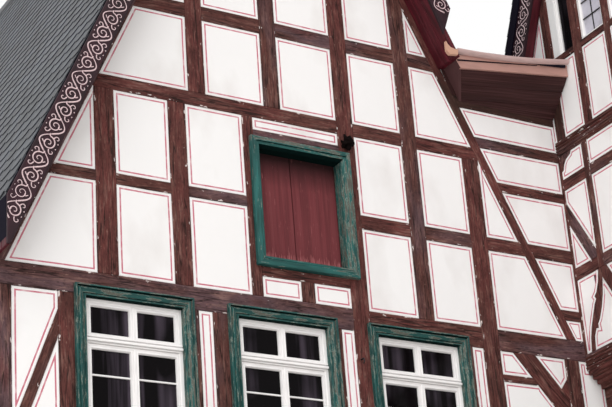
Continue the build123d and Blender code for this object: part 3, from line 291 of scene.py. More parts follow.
def brown_painted_oak(colours):
    """Brown oil paint on hewn oak: matt, redder or greyer from one timber to the next, worn pale
    along the grain, chipped at the arrises, speckled with lime and dirt, with drying cracks, and
    darkened by painted shade under the boxed eave."""
    oak = new_material("brown_painted_oak")
    grain = add(oak, ATTRIBUTE, output=1, attribute_name="grain")
    tone = add(oak, ATTRIBUTE, output=2, attribute_name="tone")
    streaks = add(oak, NOISE, {"Vector": grain, "Detail": 6.0}, scale=per_metre(170, 22, 22))
    patches = add(oak, NOISE, {"Vector": grain, "Detail": 6.0}, scale=per_metre(260, 95, 95))
    blotches = add(oak, NOISE, {"Vector": grain, "Detail": 4.0}, scale=per_metre(900, 260, 260))
    splits = add(oak, NOISE, {"Vector": grain, "Detail": 2.0}, scale=per_metre(1100, 66, 66))
    fibres = add(oak, NOISE, {"Vector": grain, "Detail": 3.0}, scale=per_metre(110, 9, 9))
    hues = [
        (0.0, tuple(colours.timber)),
        (0.3, tuple(colours.timber_red)),
        (0.6, tuple(colours.timber)),
        (0.8, tuple(colours.timber_grey)),
        (1.0, tuple(colours.timber_red)),
    ]
    hue_place = add(oak, MATHS, {0: tone, 1: 0.5, 2: blotches}, operation="MULTIPLY_ADD")
    hue_place = add(oak, MATHS, {0: hue_place, 1: 0.25}, operation="SUBTRACT")
    base = add(oak, RAMP, {"Fac": hue_place}, stops=hues)
    shade = add(oak, RAMP, {"Fac": patches}, stops=[(0.32, 0.6), (0.62, 1.0)])
    base = add(oak, MIX, {0: 1.0, 6: base, 7: shade}, **TINT)
    worn = add(oak, RAMP, {"Fac": streaks}, stops=[(0.48, 0.0), (0.7, 0.75)])
    where = add(oak, RAMP, {"Fac": patches}, stops=[(0.42, 0.08), (0.66, 0.9)])
    wear = add(oak, MATHS, {0: worn, 1: where}, operation="MULTIPLY")
    base = add(oak, MIX, {0: wear, 6: base, 7: tuple(colours.timber_pale)}, **COLOURS)
    fine = add(oak, RAMP, {"Fac": fibres}, stops=[(0.34, 0.55), (0.55, 1.0)])
    base = add(oak, MIX, {0: 0.7, 6: base, 7: fine}, **TINT)
    split = add(oak, RAMP, {"Fac": splits}, stops=[(0.472, 0.0), (0.5, 0.9), (0.528, 0.0)])
    base = add(oak, MIX, {0: split, 6: base, 7: tuple(colours.timber_dark)}, **COLOURS)
    breaks = add(oak, NOISE, {"Vector": grain, "Detail": 6.0}, scale=per_metre(70, 26, 26))
    reach = add(oak, MATHS, {0: breaks, 1: 0.3, 2: -0.182}, operation="MULTIPLY_ADD")
    inside = add(oak, MATHS, {0: reach, 1: edge_distance(oak)}, operation="SUBTRACT")
    chipped = add(oak, "ShaderNodeMapRange", {"Value": inside, 1: 0.0, 2: 0.006})
    base = add(oak, MIX, {0: chipped, 6: base, 7: tuple(colours.timber_chip)}, **COLOURS)
    specks = add(oak, NOISE, {"Vector": grain, "Detail": 5.0}, scale=per_metre(38, 15, 15))
    speckled = add(oak, RAMP, {"Fac": specks}, stops=[(0.64, 0.0), (0.76, 0.6)])
    base = add(oak, MIX, {0: speckled, 6: base, 7: tuple(colours.timber_pale)}, **COLOURS)
    grubby = add(oak, RAMP, {"Fac": specks}, stops=[(0.3, 0.55), (0.46, 1.0)])
    base = add(oak, MIX, {0: 1.0, 6: base, 7: grubby}, **TINT)
    # Painted shade: timbers below the link's boxed eave darken towards the shaded colour
    place = add(oak, "ShaderNodeTexCoord", output=3)
    spots = [add(oak, "ShaderNodeSeparateXYZ", {0: place}, output=axis) for axis in range(3)]
    spots[1] = add(oak, MATHS, {0: spots[1]}, operation="ABSOLUTE")
    shaded = 0.75
    for spot, (clear, full) in zip((spots[0], spots[1], spots[2], spots[2]), EAVE_SHADE):
        reach = add(oak, "ShaderNodeMapRange", {"Value": spot, 1: clear, 2: full})
        shaded = add(oak, MATHS, {0: reach, 1: shaded}, operation="MULTIPLY")
    base = add(oak, MIX, {0: shaded, 6: base, 7: tuple(colours.timber_shaded)}, **COLOURS)
    relief = add(oak, MIX, {0: 0.5, 6: streaks, 7: fibres}, **COLOURS)
    relief = add(oak, MIX, {0: split, 6: relief, 7: (0, 0, 0, 1)}, **COLOURS)
    return finish(oak, base, 0.78, relief, 0.005, Specular_IOR_Level=0.2)


def limewash(colours):
    """Limewash over hand-floated lime plaster: matt white, softly uneven, faintly soiled by rain."""
    lime = new_material("limewashed_plaster")
    place = add(lime, "ShaderNodeTexCoord", output=3)
    clouds = add(lime, NOISE, {"Vector": place, "Detail": 5.0}, scale=per_metre(700, 700, 1300))
    floating = add(lime, NOISE, {"Vector": place, "Detail": 4.0}, scale=per_metre(160, 160, 160))
    grit = add(lime, NOISE, {"Vector": place}, scale=per_metre(7, 7, 7))
    soil = add(lime, RAMP, {"Fac": clouds}, stops=[(0.52, 0.0), (0.78, 0.9)])
    base = add(
        lime, MIX, {0: soil, 6: tuple(colours.plaster), 7: tuple(colours.plaster_grey)}, **COLOURS
    )
    relief = add(lime, MIX, {0: 0.2, 6: floating, 7: grit}, **COLOURS)
    return finish(lime, base, 0.9, relief, 0.006)


def line_paint(colours):
    """Rose line brushed on the limewash: matt, a little starved where the brush ran dry."""
    rose = new_material("rose_line_paint")
    place = add(rose, "ShaderNodeTexCoord", output=3)
    brush = add(rose, NOISE, {"Vector": place, "Detail": 4.0}, scale=per_metre(90, 90, 90))
    starved = add(rose, RAMP, {"Fac": brush}, stops=[(0.48, 0.0), (0.78, 0.55)])
    base = add(rose, MIX, {0: starved, 6: tuple(colours.line), 7: tuple(colours.plaster)}, **COLOURS)
    return finish(rose, base, 0.85)


def flaked_paint(name, paint, wood, rim, flake=0.6, worse=None):
    """Old oil paint on joinery: satin where it holds, flaked along the grain to grey wood, with
    pale broken edges; worse gives the places across and up the house where the flaking grows."""
    coat = new_material(name)
    grain = add(coat, ATTRIBUTE, output=1, attribute_name="grain")
    flakes = add(
        coat, NOISE, {"Vector": grain, "Detail": 7.0, "Roughness": 0.62}, scale=per_metre(150, 20, 20)
    )
    fade = add(coat, NOISE, {"Vector": grain, "Detail": 4.0}, scale=per_metre(420, 50, 50))
    fibres = add(coat, NOISE, {"Vector": grain, "Detail": 3.0}, scale=per_metre(110, 5, 5))
    if worse:
        place = add(coat, "ShaderNodeTexCoord", output=3)
        across = add(coat, "ShaderNodeSeparateXYZ", {0: place})
        growth = {"Value": across, 1: worse[0], 2: worse[1], 3: 0.0, 4: 0.13}
        growth = add(coat, "ShaderNodeMapRange", growth)
        level = add(coat, "ShaderNodeSeparateXYZ", {0: place}, output=2)
        head = add(coat, "ShaderNodeMapRange", {"Value": level, 1: worse[2], 2: worse[3], 3: 0.0, 4: 0.15})
        growth = add(coat, MATHS, {0: growth, 1: head}, operation="MAXIMUM")
    else:
        growth = add(coat, ATTRIBUTE, output=2, attribute_name="wear")
        growth = add(coat, MATHS, {0: growth, 1: 0.11}, operation="MULTIPLY")
    flakes = add(coat, MATHS, {0: flakes, 1: growth}, operation="ADD")
    bare = add(coat, RAMP, {"Fac": flakes}, stops=[(flake, 0.0), (flake + 0.02, 1.0)])
    edge = add(
        coat, RAMP, {"Fac": flakes}, stops=[(flake - 0.02, 0.0), (flake, 0.7), (flake + 0.02, 0.0)]
    )
    shade = add(coat, RAMP, {"Fac": fade}, stops=[(0.3, dimmed(paint, 0.45)), (0.7, dimmed(paint, 1.35))])
    weathered = add(coat, MIX, {0: fibres, 6: dimmed(wood, 1.15), 7: dimmed(wood, 0.35)}, **COLOURS)
    base = add(coat, MIX, {0: bare, 6: shade, 7: weathered}, **COLOURS)
    base = add(coat, MIX, {0: edge, 6: base, 7: tuple(rim)}, **COLOURS)
    relief = add(coat, MIX, {0: bare, 6: (0.8, 0.8, 0.8, 1), 7: fibres}, **COLOURS)
    return finish(coat, base, 0.55, relief, 0.002, Specular_IOR_Level=0.3)


def stained_boards(name, stain, pale, along_grain=True):
    """Stained pine boards: matt, bleached in fine streaks that run down the board."""
    boards = new_material(name)
    if along_grain:
        space = add(boards, ATTRIBUTE, output=1, attribute_name="grain")
    else:
        space = add(boards, "ShaderNodeTexCoord", output=3)
    tone = add(boards, ATTRIBUTE, output=2, attribute_name="tone")
    streaks = add(boards, NOISE, {"Vector": space, "Detail": 5.0}, scale=per_metre(900, 10, 10))
    bands = add(boards, NOISE, {"Vector": space, "Detail": 3.0}, scale=per_metre(1500, 70, 70))
    fine = add(boards, RAMP, {"Fac": streaks}, stops=[(0.42, 0.0), (0.75, 0.9)])
    base = add(boards, MIX, {0: fine, 6: tuple(stain), 7: tuple(pale)}, **COLOURS)
    dark = add(boards, RAMP, {"Fac": bands}, stops=[(0.35, 0.7), (0.6, 0.0)])
    base = add(boards, MIX, {0: dark, 6: base, 7: dimmed(stain, 0.6)}, **COLOURS)
    shade = add(boards, RAMP, {"Fac": tone}, stops=[(0.0, 0.78), (1.0, 1.0)])
    base = add(boards, MIX, {0: 1.0, 6: base, 7: shade}, **TINT)
    return finish(boards, base, 0.7, streaks, 0.002, Specular_IOR_Level=0.25)


def hatch_boards(colours):
    """Red brown stained hatch boards: matt, with painted shadow under the head, bleached in streaks at the foot.
    """
    boards = new_material("stained_hatch_boards")
    low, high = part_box("hatch_leaves")
    grain = add(boards, ATTRIBUTE, output=1, attribute_name="grain")
    tone = add(boards, ATTRIBUTE, output=2, attribute_name="tone")
    place = add(boards, "ShaderNodeTexCoord", output=3)
    level = add(boards, "ShaderNodeSeparateXYZ", {0: place}, output=2)
    streaks = add(boards, NOISE, {"Vector": grain, "Detail": 5.0}, scale=per_metre(1100, 9, 9))
    hairs = add(boards, NOISE, {"Vector": grain, "Detail": 2.0}, scale=per_metre(160, 7, 7))
    fine = add(boards, RAMP, {"Fac": streaks}, stops=[(0.4, 0.0), (0.85, 0.45)])
    stain = tuple(colours.hatch)
    pale = tuple(colours.hatch_pale)
    base = add(boards, MIX, {0: fine, 6: stain, 7: pale}, **COLOURS)
    shade = add(boards, RAMP, {"Fac": tone}, stops=[(0.0, 0.84), (1.0, 1.0)])
    base = add(boards, MIX, {0: 1.0, 6: base, 7: shade}, **TINT)
    drips = add(boards, NOISE, {"Vector": grain, "Detail": 4.0}, scale=per_metre(1300, 55, 55))
    drips = add(boards, RAMP, {"Fac": drips}, stops=[(0.36, 0.6), (0.56, 0.0)])
    base = add(boards, MIX, {0: drips, 6: base, 7: dimmed(stain, 0.55)}, **COLOURS)
    # Painted shadow of the frame's head: the boards darken towards their top
    soot = {"Value": level, 1: high.z - 0.36, 2: high.z - 0.05, 3: 0.0, 4: 1.0}
    soot = add(boards, "ShaderNodeMapRange", soot)
    base = add(boards, MIX, {0: soot, 6: base, 7: dimmed(stain, 0.12)}, **COLOURS)
    foot = add(boards, "ShaderNodeMapRange", {"Value": level, 1: low.z + 0.16, 2: low.z, 3: 0.0, 4: 0.38})
    bleached = add(boards, MATHS, {0: hairs, 1: foot}, operation="ADD")
    bleached = add(boards, RAMP, {"Fac": bleached}, stops=[(0.7, 0.0), (0.76, 0.85)])
    base = add(boards, MIX, {0: bleached, 6: base, 7: dimmed(pale, 1.7)}, **COLOURS)
    return finish(boards, base, 0.72, streaks, 0.002, Specular_IOR_Level=0.25)


def brushed_paint(name, paint, roughness, along_grain=True, **values):
    """Brushed paint in fair order: even, with faint brush marks and a little grime."""
    coat = new_material(name)
    if along_grain:
        space = add(coat, ATTRIBUTE, output=1, attribute_name="grain")
    else:
        space = add(coat, "ShaderNodeTexCoord", output=3)
    marks = add(coat, NOISE, {"Vector": space, "Detail": 3.0}, scale=per_metre(220, 6, 6))
    grime = add(coat, NOISE, {"Vector": space, "Detail": 5.0}, scale=per_metre(260, 60, 60))
    dull = add(coat, RAMP, {"Fac": grime}, stops=[(0.5, 0.0), (0.85, 0.6)])
    base = add(coat, MIX, {0: dull, 6: tuple(paint), 7: dimmed(paint, 0.62)}, **COLOURS)
    return finish(coat, base, roughness, marks, 0.0006, **values)


def riven_slate(colours):
    """Riven slate: blue grey, each slate its own shade, with a low silky shine."""
    slate = new_material("riven_slate")
    place = add(slate, "ShaderNodeTexCoord", output=3)
    tone = add(slate, ATTRIBUTE, output=2, attribute_name="tone")
    veins = add(slate, NOISE, {"Vector": place, "Detail": 6.0}, scale=per_metre(70, 70, 25))
    ends = [(0.0, tuple(colours.slate_dark)), (1.0, tuple(colours.slate))]
    shade = add(slate, RAMP, {"Fac": tone}, stops=ends)
    cloud = add(slate, RAMP, {"Fac": veins}, stops=[(0.5, 0.0), (0.85, 0.35)])
    base = add(slate, MIX, {0: cloud, 6: shade, 7: dimmed(colours.slate, 1.4)}, **COLOURS)
    return finish(slate, base, 0.48, veins, 0.003)


def dressed_sandstone(colours):
    """Dressed sandstone: warm, sandy and matt, tooled flat, with fine beds."""
    stone = new_material("dressed_sandstone")
    place = add(stone, "ShaderNodeTexCoord", output=3)
    tone = add(stone, ATTRIBUTE, output=2, attribute_name="tone")
    beds = add(stone, NOISE, {"Vector": place, "Detail": 5.0}, scale=per_metre(300, 300, 60))
    sand = add(stone, NOISE, {"Vector": place}, scale=per_metre(5, 5, 5))
    shade = add(stone, RAMP, {"Fac": tone}, stops=[(0.0, 0.7), (1.0, 1.0)])
    warm = tuple(colours.sandstone)
    base = add(stone, MIX, {0: beds, 6: warm, 7: dimmed(warm, 0.6)}, **COLOURS)
    base = add(stone, MIX, {0: 1.0, 6: base, 7: shade}, **TINT)
    relief = add(stone, MIX, {0: 0.5, 6: beds, 7: sand}, **COLOURS)
    return finish(stone, base, 0.88, relief, 0.004)


def old_glass(colours):
    """Old window glass over unlit rooms: near black, glossy, with tall curtain folds behind it."""
    glass = new_material("old_window_glass")
    place = add(glass, "ShaderNodeTexCoord", output=3)
    veils = add(glass, NOISE, {"Vector": place, "Detail": 3.0}, scale=per_metre(110, 110, 2600))
    rooms = add(glass, NOISE, {"Vector": place}, scale=per_metre(520, 520, 700))
    folds = add(glass, RAMP, {"Fac": veils}, stops=[(0.44, 0.0), (0.68, 0.9)])
    dark = tuple(colours.glass)
    seen = add(glass, MIX, {0: folds, 6: dark, 7: tuple(colours.curtain)}, **COLOURS)
    deep = add(glass, RAMP, {"Fac": rooms}, stops=[(0.42, 1.0), (0.6, 0.15)])
    base = add(glass, MIX, {0: deep, 6: seen, 7: dark}, **COLOURS)
    ripple = add(glass, NOISE, {"Vector": place}, scale=per_metre(300, 300, 300))
    return finish(glass, base, 0.06, ripple, 0.002, Specular_IOR_Level=0.05)


def sky_glass(colours):
    """Small uneven leaded panes: pale lavender and glossy, the pale colour a painted reflection of the sky."""
    glass = new_material("leaded_window_glass")
    place = add(glass, "ShaderNodeTexCoord", output=3)
    uneven = add(glass, NOISE, {"Vector": place, "Detail": 3.0}, scale=per_metre(150, 150, 150))
    # Painted reflection of the sky in the panes' base colour
    pale = tuple(colours.sky_glass)
    share = add(glass, RAMP, {"Fac": uneven}, stops=[(0.4, 0.0), (0.75, 0.8)])
    base = add(glass, MIX, {0: share, 6: pale, 7: dimmed(pale, 0.6)}, **COLOURS)
    return finish(glass, base, 0.1, uneven, 0.003)


def materials():
    """Every finish of the house, by name, made once."""
    if not FINISHES:
        c = bpy.context.scene.house_colours
        wood = tuple(c.green_wood)
        rim = tuple(c.green_rim)
        hatch_low, hatch_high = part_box("hatch_frame")
        hatch_worse = (hatch_high.x - 0.42, hatch_high.x - 0.1, hatch_high.z - 0.07, hatch_high.z - 0.03)
        FINISHES.update(
            timber=brown_painted_oak(c),
            plaster=limewash(c),
            line=line_paint(c),
            green=flaked_paint("green_casing_paint", dimmed(c.green, 0.75), wood, rim, 0.64),
            hatch_green=flaked_paint("green_hatch_paint", c.green, wood, rim, 0.64, hatch_worse),
            cream=brushed_paint("cream_window_paint", c.cream, 0.4),
            hatch=hatch_boards(c),
            # Painted shade: near-black green for the undersides of frame heads
            soot=brushed_paint("sooty_green_paint", dimmed(c.green, 0.1), 0.9, Specular_IOR_Level=0.05),
            knob=brushed_paint("black_carved_boss", c.boss, 0.9, False, Specular_IOR_Level=0.05),
            end_board=brushed_paint("brown_end_board_paint", c.end_board, 0.75),
            wine=flaked_paint("wine_red_paint", c.wine, dimmed(c.wine, 0.6), dimmed(c.wine, 2.4), 0.66),
            scroll_ground=flaked_paint(
                "black_red_paint", c.scroll_ground, dimmed(c.wine, 0.7), dimmed(c.wine, 1.6), 0.66
            ),
            scroll=brushed_paint("scroll_paint", c.scroll, 0.6, along_grain=False),
            eave=stained_boards("dark_eave_boards", c.eave, linear("#5C3A3A")),
            tan=brushed_paint("weathered_tan_paint", c.tan, 0.55, along_grain=False),
            fascia_tan=brushed_paint("worn_fascia_paint", c.fascia, 0.6),
            flashing=brushed_paint("orange_tan_sheet", c.flashing, 0.6, along_grain=False),
            # Dark navy, partly painted shade, for the roof's edges and the painted shadow strips at the eave
            roof_edge=brushed_paint("dark_edge_and_shade_paint", c.roof_edge, 0.85, False, Specular_IOR_Level=0.08),
            slate=riven_slate(c),
            stone=dressed_sandstone(c),
            glass=old_glass(c),
            sky_glass=sky_glass(c),
            oak=stained_boards("oiled_oak", c.oak, dimmed(c.oak, 1.9)),
            boards=stained_boards("bare_floor_boards", c.floor_boards, dimmed(c.floor_boards, 1.5), False),
            iron=brushed_paint("forged_iron", c.iron, 0.5, along_grain=False),
        )
    return FINISHES


def islands(bm):
    """The vertices of each loose part, in the mesh's own order."""
    seen = set()
    groups = []
    for first in bm.verts:
        if first in seen:
            continue
        seen.add(first)
        stack = [first]
        group = []
        while stack:
            vert = stack.pop()
            group.append(vert)
            for edge in vert.link_edges:
                other = edge.other_vert(vert)
                if other not in seen:
                    seen.add(other)
                    stack.append(other)
        groups.append(group)
    return groups


def everything(bm):
    """All the geometry of a bmesh."""
    return [*bm.verts, *bm.edges, *bm.faces]


def cut(bm, point, normal, **clear):
    """Cuts a bmesh with a plane, and may clear one side of it."""
    bmesh.ops.bisect_plane(
        bm, geom=everything(bm), dist=MERGE, plane_co=point, plane_no=normal, **clear
    )


def trimmed(bm, point, normal):
    """Cuts away what lies beyond a plane and closes the cut."""
    cut(bm, point, normal, clear_outer=True)
    bmesh.ops.holes_fill(bm, edges=[e for e in bm.edges if e.is_boundary], sides=0)


def joined(parts):
    """One bmesh of several, which are freed."""
    whole = bmesh.new()
    scratch = bpy.data.meshes.new("scratch")
    for part in parts:
        part.to_mesh(scratch)
        part.free()
        whole.from_mesh(scratch)
    bpy.data.meshes.remove(scratch)
    return whole


def copied(node):
    """A bmesh of one node, merged, with each flat face in one piece."""
    bm = bmesh.new()
    bm.from_mesh(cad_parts[node].data)
    bmesh.ops.remove_doubles(bm, verts=bm.verts, dist=MERGE)
    bmesh.ops.dissolve_limit(bm, angle_limit=FLAT, verts=bm.verts, edges=bm.edges)
    return bm


def corners_of(verts):
    """Lowest and highest corner of some vertices."""
    low = Vector([min(v.co[axis] for v in verts) for axis in range(3)])
    high = Vector([max(v.co[axis] for v in verts) for axis in range(3)])
    return low, high


def boxes(node):
    """Lowest and highest corner of each loose part of a node."""
    bm = copied(node)
    found = [corners_of(group) for group in islands(bm)]
    bm.free()
    return found


def principal(points, besides=None):
    """The direction in which a set of points is longest, square to another one where that is given."""
    centre = sum(points, Vector()) / len(points)
    offsets = [point - centre for point in points]
    if besides:
        offsets = [offset - besides * offset.dot(besides) for offset in offsets]
    direction = max(offsets, key=lambda offset: offset.length)
    for _ in range(12):
        total = sum((offset * offset.dot(direction) for offset in offsets), Vector())
        direction = total.normalized()
    return direction


def set_grain(bm, per_face=False, shuffle=None):
    """Stores metres along, across and into each timber, shifted at random, with a shade for each, and
    how far each corner is from the timber's middle line, with the timber's half width and depth."""
    shuffle = shuffle or random.Random(SEED)
    layers = bm.loops.layers
    grain, rim, half = [layers.float_vector.new(name) for name in ("grain", "rim", "half")]
    shade = layers.float.new("tone")
    for group in islands(bm):
        value = shuffle.random()
        shift = Vector([shuffle.uniform(-50, 50) for _ in range(3)])
        points = [v.co for v in group]
        along = principal(points)
        for face in {face for vert in group for face in vert.link_faces}:
            if per_face:
                edge = max(face.edges, key=lambda e: e.calc_length())
                along = (edge.verts[1].co - edge.verts[0].co).normalized()
            upright = abs(along.dot(UP)) > 1 - MERGE * 100
            side = ACROSS if upright else along.cross(UP).normalized()
            third = along.cross(side)
            if per_face:
                middle = spans = Vector()
            else:
                reach = [(min(p.dot(d) for p in points), max(p.dot(d) for p in points)) for d in (side, third)]
                middle = Vector([(low + high) / 2 for low, high in reach] + [0])
                spans = Vector([(high - low) / 2 for low, high in reach] + [0])
            for loop in face.loops:
                place = loop.vert.co
                measured = Vector((place.dot(side), place.dot(third), 0))
                loop[grain] = Vector((place.dot(along), measured.x, measured.y)) + shift
                loop[rim] = measured - middle
                loop[half] = spans
                loop[shade] = value


def sliced(bm, step):
    """Cuts the mesh at even spacing along X, Y and Z, so that long faces can bend."""
    for normal in (ACROSS, DEEP, UP):
        reach = [v.co.dot(normal) for v in bm.verts]
        low, high = min(reach), max(reach)
        place = (math.floor(low / step) + 1) * step
        while place < high - step / 30:
            cut(bm, normal * place, normal)
            place += step


def swayed(bm, amount, distance):
    """Moves every vertex by one smooth field, so that pieces that meet still meet."""
    for vert in bm.verts:
        vert.co += noise.noise_vector(vert.co / distance) * amount


def piece(bm, name, finishes, nodes=(), smooth=False):
    """Makes the finished mesh an object that rides on the house and stands for its nodes."""
    lowest, highest = CAD_BOX
    for vert in bm.verts:
        vert.co = Vector([min(max(c, a), b) for c, a, b in zip(vert.co, lowest, highest)])
    mesh = bpy.data.meshes.new(name)
    bm.to_mesh(mesh)
    bm.free()
    for finish_name in finishes:
        mesh.materials.append(materials()[finish_name])
    if smooth:
        mesh.shade_smooth()
    made = bpy.data.objects.new(name, mesh)
    bpy.context.scene.collection.objects.link(made)
    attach(made, "root")
    if nodes:
        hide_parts(*nodes)
    return made


def refinished(node, finish_name):
    """Gives a carried-over node its finish."""
    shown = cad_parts[node]
    if not shown.material_slots:
        shown.data.materials.append(None)
    for held in shown.material_slots:
        held.material = materials()[finish_name]


def bevelled(bm, width, segments=2):
    """Rounds every sharp edge."""
    sharp = [e for e in bm.edges if e.is_manifold and e.calc_face_angle() > SHARP]
    bmesh.ops.bevel(
        bm,
        geom=sharp,
        offset=width,
        offset_type="OFFSET",
        affect="EDGES",
        segments=segments,
        profile=0.5,
        material=-1,
        clamp_overlap=True,
    )


def parted(bm, width, joint, across=None):
    """Saws each slab into boards that lie side by side, with open joints between them."""
    boards = []
    for group in islands(bm):
        inside = {vert.index for vert in group}
        points = [v.co.copy() for v in group]
        normal = across or principal(points, principal(points))
        reach = [p.dot(normal) for p in points]
        low, high = min(reach), max(reach)
        count = max(1, round((high - low) / width))
        for index in range(count):
            board = bm.copy()
            spare = [v for v in board.verts if v.index not in inside]
            bmesh.ops.delete(board, geom=spare, context="VERTS")
            start = low + (high - low) * index / count
            end = low + (high - low) * (index + 1) / count
            if index > 0:
                trimmed(board, normal * (start + joint / 2), -normal)
            if index < count - 1:
                trimmed(board, normal * (end - joint / 2), normal)
            boards.append(board)
    bm.free()
    return joined(boards)


def timbered(name, nodes, finish_name, width=None, board=None, across=None):
    """Hewn timbers or sawn boards in the place of whole nodes."""
    sizes = bpy.context.scene.house_sizes
    shuffle = random.Random(name)
    parts = []
    for node in nodes:
        bm = copied(node)
        if board:
            bm.verts.index_update()
            bm = parted(bm, board, sizes.board_joint, across)
        bevelled(bm, width or sizes.arris)
        set_grain(bm, shuffle=shuffle)
        sliced(bm, sizes.slice_length)
        swayed(bm, sizes.sway, sizes.sway_length)
        parts.append(bm)
    return piece(joined(parts), name, [finish_name], nodes)


def faces_out(face, node):
    """Whether an infill face is on the street or yard side of its wall."""
    if node == "front_wall_infill":
        return face.normal.y < -FACING
    if node == "wing_wall_infill":
        return face.normal.x < -FACING
    if abs(face.normal.x) > FACING:
        return face.normal.x > 0
    return abs(face.normal.y) > FACING and (face.normal.y > 0) == (face.calc_center_median().y > 0)


def plastered(name, node):
    """Infill panels with a rounded rim, each with a painted line that follows its outline."""
    sizes = bpy.context.scene.house_sizes
    bm = copied(node)
    for face in [f for f in bm.faces if faces_out(f, node)]:
        narrow = 2 * face.calc_area() / face.calc_perimeter()
        edge = min(sizes.plaster_edge, 0.06 * narrow)
        margin = min(sizes.line_margin, 0.27 * narrow) - edge
        width = min(sizes.line_width, 0.15 * narrow)
        steps = ((edge, edge / 2, 0), (margin, 0, 0), (width, 0, 1))
        unlined = node == "wing_wall_infill" and narrow < 0.12 and face.calc_center_median().z > 11.5
        steps = steps[:1] if unlined else steps
        for thickness, depth, finish_index in steps:
            made = bmesh.ops.inset_individual(
                bm, faces=[face], thickness=thickness, depth=depth, use_even_offset=True
            )
            for strip in made["faces"]:
                strip.material_index = finish_index
    sliced(bm, sizes.slice_length)
    swayed(bm, sizes.sway, sizes.sway_length)
    return piece(bm, name, ["plaster", "line"], [node])


def moulded_frame(bm, outline, start, section):
    """A mitred frame within an upright rectangle, drawn with Y into the wall: it begins at a depth,
    and each step of its section goes inwards and then outwards by so much."""
    left, low, right, high = outline
    place = (
        Matrix.Translation(((left + right) / 2, start, (low + high) / 2))
        @ Matrix.Rotation(math.pi / 2, 4, "X")
        @ Matrix.Diagonal((right - left, high - low, 1, 1))
    )
    verts = bmesh.ops.create_grid(bm, x_segments=1, y_segments=1, size=0.5, matrix=place)["verts"]
    face = verts[0].link_faces[0]
    for inwards, outwards in section:
        bmesh.ops.inset_individual(
            bm, faces=[face], thickness=inwards, depth=outwards, use_even_offset=True
        )
    bmesh.ops.delete(bm, geom=[face], context="FACES_ONLY")
    bmesh.ops.bridge_loops(bm, edges=[e for e in bm.edges if e.is_boundary])


def bar(bm, low, high, width=0.003):
    """A bevelled bar between two corners."""
    middle = (Vector(low) + Vector(high)) / 2
    spans = Vector(high) - Vector(low)
    place = Matrix.Translation(middle) @ Matrix.Diagonal((*spans, 1))
    verts = bmesh.ops.create_cube(bm, size=1, matrix=place)["verts"]
    edges = list(dict.fromkeys(e for v in verts for e in v.link_edges))
    bmesh.ops.bevel(bm, geom=edges, offset=width, affect="EDGES", segments=1, profile=0.5, material=-1)


def at_opening(low, high, inward):
    """The matrix that puts a piece drawn about the middle of its outer face at a wall opening."""
    depth = abs((high - low).dot(inward))
    turn = Matrix((inward.cross(UP), inward, UP)).transposed().to_4x4()
    return Matrix.Translation((low + high) / 2 - inward * depth / 2) @ turn


def openings(frame_node, glass_node):
    """Each window frame's box, with the direction into the room."""
    panes = [(low + high) / 2 for low, high in boxes(glass_node)]
    found = []
    for low, high in boxes(frame_node):
        middle = (low + high) / 2
        pane = min(panes, key=lambda p: (p - middle).length)
        axis = 0 if (high - low).x < (high - low).y else 1
        inward = Vector((0, 0, 0))
        inward[axis] = 1 if pane[axis] > middle[axis] else -1
        found.append((low, high, inward))
    return found


def repeated(template, spots):
    """Copies a drawn piece to every spot, in one bmesh."""
    mesh = bpy.data.meshes.new("template")
    template.to_mesh(mesh)
    template.free()
    whole = bmesh.new()
    for spot in spots:
        start = len(whole.verts)
        whole.from_mesh(mesh)
        whole.verts.ensure_lookup_table()
        bmesh.ops.transform(whole, matrix=spot, verts=whole.verts[start:])
    bpy.data.meshes.remove(mesh)
    return whole


# Sections of the window joinery, each step inwards and outwards in metres
CASING_FLANGE = 0.113
CASING_SECTION = (
    (0.000, 0.038),
    (0.006, 0.006),
    (0.010, 0.000),
    (0.006, -0.006),
    (0.004, -0.014),
    (0.007, 0.000),
    (0.005, 0.012),
    (0.012, 0.002),
    (0.018, -0.008),
    (0.012, -0.008),
    (0.004, -0.008),
    (0.008, 0.000),
    (0.004, 0.010),
    (0.010, 0.001),
    (0.007, -0.007),
    (0.000, -0.138),
)
OUTER_FRAME_SECTION = ((0.000, 0.060), (0.031, 0.000), (0.008, -0.010), (0.000, -0.050))
TRANSOM_STEPS = (
    (0.000, 0.010, 0.020),
    (0.023, -0.008, 0.014),
    (0.040, -0.026, 0.024),
    (0.066, -0.006, 0.010),
    (0.078, -0.018, 0.017),
)
HATCH_SECTION = (
    (0.000, 0.046),
    (0.006, 0.008),
    (0.046, 0.004),
    (0.006, -0.010),
    (0.008, -0.004),
    (0.006, 0.004),
    (0.014, -0.004),
    (0.012, -0.016),
    (0.012, -0.022),
    (0.000, -0.120),
)


def weathered(bm, half, tall):
    """Stores how exposed each part of a casing is: most on the right jamb and the head."""
    wear = bm.loops.layers.float.new("wear")
    for face in bm.faces:
        for loop in face.loops:
            place = loop.vert.co
            beyond = (place.x - half + 0.05) / 0.05, (place.z - tall + 0.05) / 0.09
            inside = 0.35 if place.y > -0.02 else 0.0
            loop[wear] = max(0.0, min(1.0, max(beyond))) - inside


def sooted(bm, middle):
    """Gives the underside of a frame's head its second finish, a near-black green that is painted shade."""
    bmesh.ops.recalc_face_normals(bm, faces=bm.faces)
    for face in bm.faces:
        under_head = face.normal.z < -0.6 and face.calc_center_median().z > middle
        face.material_index = 1 if under_head else 0


